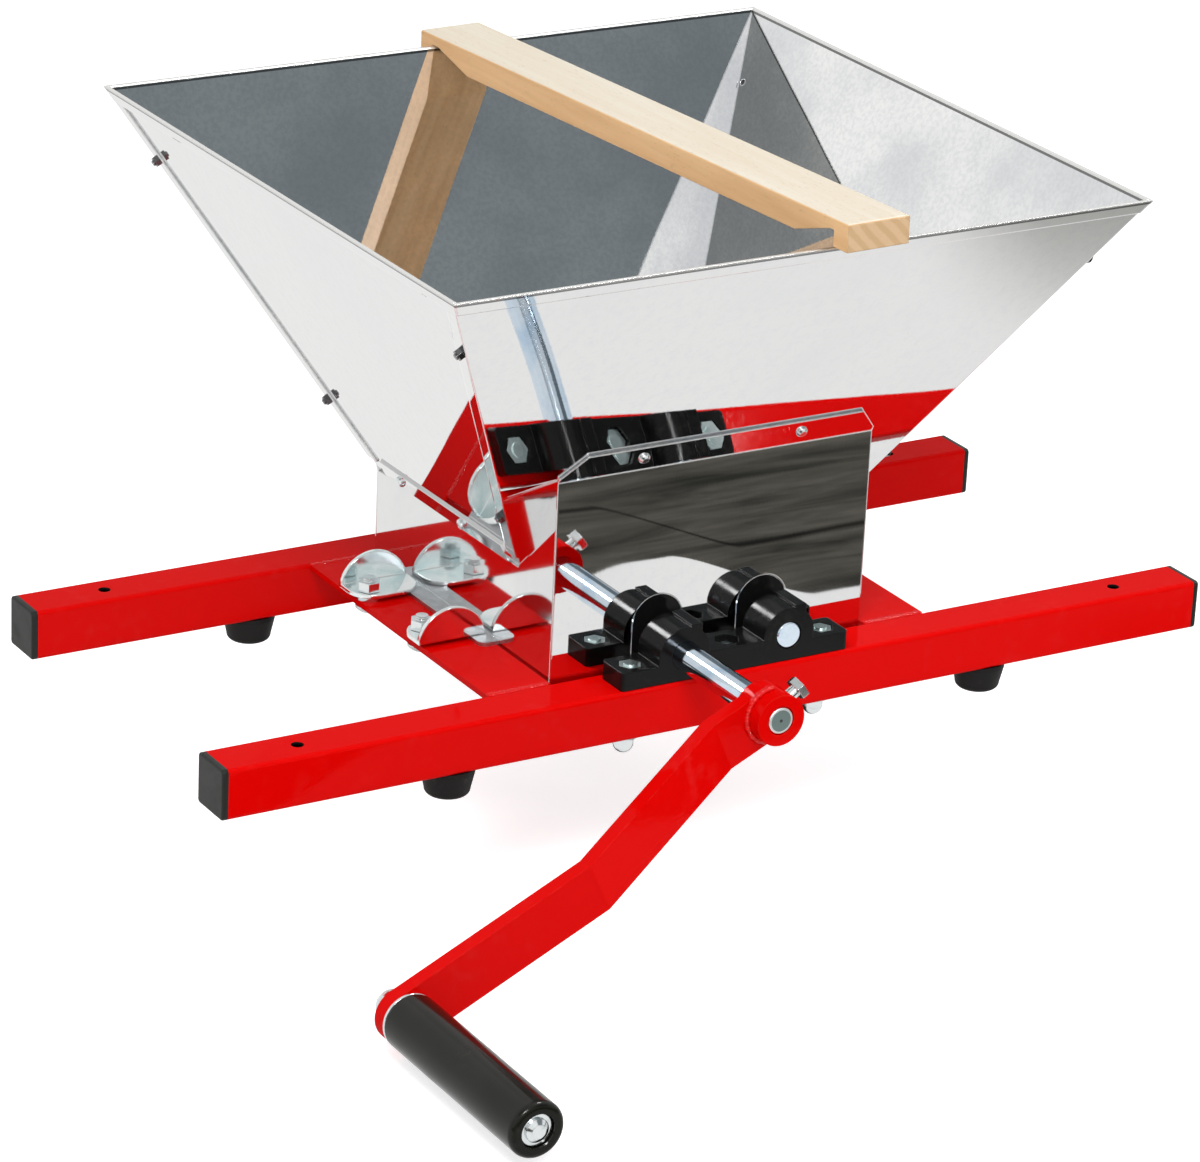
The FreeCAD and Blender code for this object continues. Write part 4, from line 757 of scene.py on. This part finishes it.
# Hopper and chamber ends: thin polished stainless sheets, slightly wavy, folded round at the
# hopper's corners and hemmed at its rim. The front sheet bows, and inside the hopper the
# polish has turned patchy.
RIM_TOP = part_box("hopper_front_wall")[1][2]
HOPPER_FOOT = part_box("hopper_front_wall")[0][2]
HEM_HEIGHT = 0.0007
HEM_LINE = 0.0011
BOW_START = 0.1
BOW_RISE = 0.07
BOW_TWIST = 0.3
FACES_UP = 0.2
POLISH_SMUDGED = (0.76, 0.765, 0.77, 1)
POLISH_MOTTLED = (0.755, 0.76, 0.77, 1)
PATCH_DULL = (0.76, 0.77, 0.79, 1)
PATCH_BRIGHT = (0.95, 0.95, 0.95, 1)
PATCH_GRAIN = (0.60, 0.62, 0.65, 1)
HEM_COLOUR = (0.80, 0.80, 0.79, 1)
HEM_SHADE = (0.20, 0.20, 0.20, 1)


def sheet_bow(tree, axes):
    """How far the front sheet stands off flat: it bows and twists a little towards its rim."""
    above = compute(tree, "MAXIMUM", compute(tree, "SUBTRACT", axes["Z"], BOW_START), 0.0)
    rise = compute(tree, "MULTIPLY", compute(tree, "MULTIPLY", above, above), BOW_RISE / 2)
    twist = compute(tree, "MULTIPLY", compute(tree, "MULTIPLY", above, axes["X"]), BOW_TWIST)
    return compute(tree, "SUBTRACT", rise, twist)


def hopper_inside(tree, place, height):
    """1 on the hopper's upward faces, and their patchy colour."""
    inner = compute(tree, "MULTIPLY",
                    compute(tree, "GREATER_THAN", face_direction(tree)["Z"], FACES_UP),
                    compute(tree, "GREATER_THAN", height, HOPPER_FOOT))
    patches = noise(tree, place, scale=11, detail=3, roughness=0.6)
    patchy = blend_colours(tree, rescale(tree, patches, 0.36, 0.64, smooth=True),
                           PATCH_DULL, PATCH_BRIGHT)
    grain = rescale(tree, noise(tree, place, scale=420, detail=2, roughness=0.6), 0.40, 0.62)
    return inner, blend_colours(tree, compute(tree, "MULTIPLY", grain, 0.3), patchy, PATCH_GRAIN)


def stainless(tree, bowed=False):
    edges = group(tree, "edges", Radius=0.0012, Breakup=200.0)
    marks = group(tree, "handling", Size=7.0)
    scratches = group(tree, "scratches", Stretch=(1.0, 1.0, 0.06), Scale=900.0)
    place = object_place(tree)
    axes = along_axes(tree, place)
    waves = noise(tree, place, scale=7, detail=1)
    normal = bump(tree, waves, strength=0.5, distance=0.0009, normal=edges["Normal"])
    normal = bump(tree, scratches["Height"], strength=0.02, distance=0.0001, normal=normal)
    if bowed:
        normal = bump(tree, sheet_bow(tree, axes), strength=1.0, distance=1.0, normal=normal)
    mottle = rescale(tree, noise(tree, place, scale=200, detail=3, roughness=0.7), 0.45, 0.75)
    colour = blend_colours(tree, marks["Smudge"], POLISHED, POLISH_SMUDGED)
    colour = blend_colours(tree, mottle, colour, POLISH_MOTTLED)
    inner, patchy = hopper_inside(tree, place, axes["Z"])
    colour = blend_colours(tree, inner, colour, patchy)
    below_rim = compute(tree, "SUBTRACT", RIM_TOP - HEM_HEIGHT, axes["Z"])
    hem = compute(tree, "LESS_THAN", below_rim, 0.0)
    fold = compute(tree, "SUBTRACT", compute(tree, "LESS_THAN", below_rim, HEM_LINE), hem)
    colour = blend_colours(tree, hem, colour, HEM_COLOUR)
    colour = blend_colours(tree, fold, colour, HEM_SHADE)
    roughness = between(tree, marks["Smudge"], 0.015, 0.035)
    roughness = compute(tree, "MAXIMUM", roughness, compute(tree, "MULTIPLY", hem, 0.4))
    return principled(tree, Base_Color=colour, Metallic=1.0, Roughness=roughness, Normal=normal)


dress(material("polished stainless sheet", stainless), "hopper_back_wall", "hopper_left_wall",
      "hopper_right_wall", "chamber_front_panel", "chamber_back_panel")
dress(material("polished stainless sheet, bowed", lambda tree: stainless(tree, bowed=True)),
      "hopper_front_wall")


# Necks: thin collars of the blocks' black plastic that fill the slots in the chamber's end
# panels, round the shafts. They stay behind when the chamber is lifted off.
SLOT_HALF = 0.01365
SLOT_RISE = 0.0075
NECK_DEPTH = 0.0085
NECK_THICKNESS = 0.0011
NECK_PROUD = 0.0001
NECK_STEPS = 72
SHAFT_CLEAR = 0.0003
SHAFT_RADIUS = (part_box("idler_shaft")[1][0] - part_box("idler_shaft")[0][0]) / 2
SHEET = 0.001
PANEL_FACE = -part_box("chamber_left_wall")[0][1] + SHEET
LEAST = 0.0001


def slot_reach(angle):
    """How far the slot's edge is from the shaft's middle, in one direction."""
    across, up = math.cos(angle), math.sin(angle)
    reach = SLOT_HALF / max(abs(across), LEAST)
    if reach * up > SLOT_RISE:
        reach = SLOT_RISE * up + math.sqrt(SLOT_HALF ** 2 - (SLOT_RISE * across) ** 2)
    if up < 0:
        reach = min(reach, NECK_DEPTH / -up)
    return reach


def make_neck(name, x, end):
    mesh = bmesh.new()
    rings = []
    for outer, depth in ((False, 0), (True, 0), (True, NECK_THICKNESS), (False, NECK_THICKNESS)):
        y = end * (PANEL_FACE + NECK_PROUD - depth)
        ring = []
        for k in range(NECK_STEPS):
            angle = 2 * math.pi * k / NECK_STEPS
            reach = slot_reach(angle) if outer else SHAFT_RADIUS + SHAFT_CLEAR
            ring.append(mesh.verts.new((x + reach * math.cos(angle), y,
                                        SHAFT_Z + reach * math.sin(angle))))
        rings.append(ring)
    for first, second in zip(rings, rings[1:] + rings[:1]):
        for k in range(NECK_STEPS):
            after = (k + 1) % NECK_STEPS
            mesh.faces.new((first[k], first[after], second[after], second[k]))
    bmesh.ops.recalc_face_normals(mesh, faces=mesh.faces)
    finish_mesh(name, mesh, "frame", BLOCK_LOOK)


for end, end_name in ((-1, "front"), (1, "back")):
    for side, shaft_name in ((-1, "drive"), (1, "idler")):
        make_neck("neck_%s_%s" % (end_name, shaft_name), side * SHAFT_X, end)


# Wing clamps: pressed sheet steel, zinc-plated, creased and bent up, and brighter where it was
# bent. Each turns on its own bolt over a tab of the chamber.
CLAMP_ZINC = (0.93, 0.96, 0.96, 1)
CLAMP_SMUDGED = (0.66, 0.78, 0.79, 1)
CLAMP_BENT = (0.9, 0.92, 0.92, 1)


def clamp_zinc(tree):
    edges = group(tree, "edges", Radius=0.0012, Breakup=160.0)
    marks = group(tree, "handling", Size=30.0)
    colour = blend_colours(tree, marks["Smudge"], CLAMP_ZINC, CLAMP_SMUDGED)
    colour = blend_colours(tree, edges["Mask"], colour, CLAMP_BENT)
    waves = noise(tree, object_place(tree), scale=40, detail=2)
    normal = bump(tree, waves, strength=0.3, distance=0.0006, normal=edges["Normal"])
    return principled(tree, Base_Color=colour, Metallic=1.0, Normal=normal,
                      Roughness=between(tree, marks["Smudge"], 0.08, 0.16))


dress(material("pressed zinc sheet", clamp_zinc), "clamp_left_front", "clamp_left_back",
      "clamp_right_front", "clamp_right_back")


# Crank: a hub tube and a joggled flat arm, painted with the frame's enamel. A weld bead runs
# round the hub where it comes out of the arm's front face.
HUB_RADIUS = 0.0125
HUB_WELD_OUT = 0.0008
HUB_WELD_SUNK = 0.0004
HUB_WELD_RADIUS = 0.0017
HUB_WELD_ANGLES = (95, 272)
HUB_WELD_STEPS = 24
ARM_FACE = -0.1884


def make_hub_weld():
    first, last = (math.radians(angle) for angle in HUB_WELD_ANGLES)
    radius = HUB_RADIUS + HUB_WELD_OUT
    path = []
    for k in range(HUB_WELD_STEPS + 1):
        angle = first + (last - first) * k / HUB_WELD_STEPS
        path.append((-SHAFT_X + radius * math.cos(angle), ARM_FACE - HUB_WELD_SUNK,
                     SHAFT_Z + radius * math.sin(angle)))
    make_bead("weld_hub", path, HUB_WELD_RADIUS, "drive_rotor")


dress(RED_LOOK, "crank_hub", "crank_arm")
make_hub_weld()


# Crank grip: a turning sleeve of black plastic on its bolt, polished by hands, with a flat dark
# end. A wide thin washer lies between it and the arm, and a closed cap covers the nut behind.
GRIP_BLACK = (0.007, 0.007, 0.005, 1)
GRIP_DUST = (0.02, 0.02, 0.016, 1)
GRIP_CENTRE = (-0.23383, -0.08251)
NUT_CAP_RADIUS = 0.0082
NUT_CAP_STRAIGHT = 0.0062
NUT_CAP_FOOT = -0.2153
WASHER_BACK = -0.22315
WASHER_BORE = 0.0098
WASHER_RADIUS = 0.0133
WASHER_EDGE = 0.0003
WASHER_THICKNESS = 0.0014


def grip_plastic(tree):
    edges = group(tree, "edges", Radius=0.0008, Breakup=260.0)
    marks = group(tree, "handling", Size=30.0)
    colour = blend_colours(tree, marks["Dust"], GRIP_BLACK, GRIP_DUST)
    side = rescale(tree, face_direction(tree)["Y"], -0.9, -0.6)
    patches = noise(tree, object_place(tree), scale=26, detail=2)
    coat = compute(tree, "MULTIPLY", rescale(tree, patches, 0.35, 0.65, 0.15, 0.27), side)
    return principled(tree, Base_Color=colour, Coat_Weight=coat, Coat_Roughness=0.05,
                      Normal=edges["Normal"], Specular_IOR_Level=0.15,
                      Roughness=between(tree, marks["Smudge"], 0.18, 0.30))


def washer_profile():
    rim = WASHER_RADIUS - WASHER_EDGE
    back = WASHER_THICKNESS - WASHER_EDGE
    return [(WASHER_BORE, 0), (rim, 0), (WASHER_RADIUS, WASHER_EDGE), (WASHER_RADIUS, back),
            (rim, WASHER_THICKNESS), (WASHER_BORE, WASHER_THICKNESS)]


dress(material("glossy black plastic", grip_plastic), "crank_grip")
make_turned("grip_nut_cap", domed(NUT_CAP_RADIUS, NUT_CAP_STRAIGHT),
            (GRIP_CENTRE[0], NUT_CAP_FOOT, GRIP_CENTRE[1]), (0, 1, 0), "drive_rotor", ZINC_LOOK)
make_turned("grip_collar", washer_profile(), (GRIP_CENTRE[0], WASHER_BACK, GRIP_CENTRE[1]),
            (0, -1, 0), "drive_rotor", ZINC_LOOK, loop=True)


# Wooden bar: planed beech, its grain along the bar, with the short dark flecks of beech and the
# lines of its yearly growth on the sawn ends, and a paler top painted as light. It lies loose
# across the rim.
BEECH_TOP_PAINTED_LIGHT = ((0.80, 0.74, 0.63, 1), (0.74, 0.66, 0.52, 1))
BEECH_SIDE = ((0.86, 0.53, 0.25, 1), (0.70, 0.38, 0.15, 1))
BEECH_END = ((0.66, 0.45, 0.255, 1), (0.58, 0.37, 0.19, 1))
BEECH_FIBRE = (0.60, 0.42, 0.24, 1)
BEECH_FLECK = (0.34, 0.18, 0.08, 1)


def beech(tree):
    place = object_place(tree)
    edges = group(tree, "edges", Radius=0.0008, Breakup=120.0)
    facing = face_direction(tree)
    up = rescale(tree, facing["Z"], 0.55, 0.75)
    end = rescale(tree, compute(tree, "ABSOLUTE", facing["Y"]), 0.8, 0.95)
    bands = noise(tree, stretched(tree, place, (1.0, 0.045, 1.0)), scale=150, detail=3,
                  roughness=0.55, distortion=0.3)
    rings = node(tree, "TexWave", {"bands_direction": "DIAGONAL"}, Vector=place, Scale=70.0,
                 Distortion=1.5, Detail=2.0).outputs["Fac"]
    fibre = noise(tree, stretched(tree, place, (1.0, 0.02, 1.0)), scale=900, detail=3)
    flecks = noise(tree, stretched(tree, place, (1.0, 0.16, 1.0)), scale=1300, detail=1)
    fleck = rescale(tree, flecks, 0.66, 0.74)
    level = rescale(tree, bands, 0.3, 0.7)
    side_colour = blend_colours(tree, level, *BEECH_SIDE)
    painted_light_top_colour = blend_colours(tree, level, *BEECH_TOP_PAINTED_LIGHT)
    end_colour = blend_colours(tree, rescale(tree, rings, 0.3, 0.8), *BEECH_END)
    # Painted light: upward faces take the paler, lit top colour.
    colour = blend_colours(tree, up, side_colour, painted_light_top_colour)
    colour = blend_colours(tree, end, colour, end_colour)
    colour = blend_colours(tree, compute(tree, "MULTIPLY", fibre, 0.22), colour, BEECH_FIBRE)
    colour = blend_colours(tree, compute(tree, "MULTIPLY", fleck, 0.25), colour, BEECH_FLECK)
    height = compute(tree, "ADD", fibre, compute(tree, "MULTIPLY", fleck, -0.6))
    normal = bump(tree, height, strength=0.25, distance=0.0003, normal=edges["Normal"])
    return principled(tree, Base_Color=colour, Roughness=0.5, Normal=normal)


dress(material("planed beech", beech), "wooden_bar")
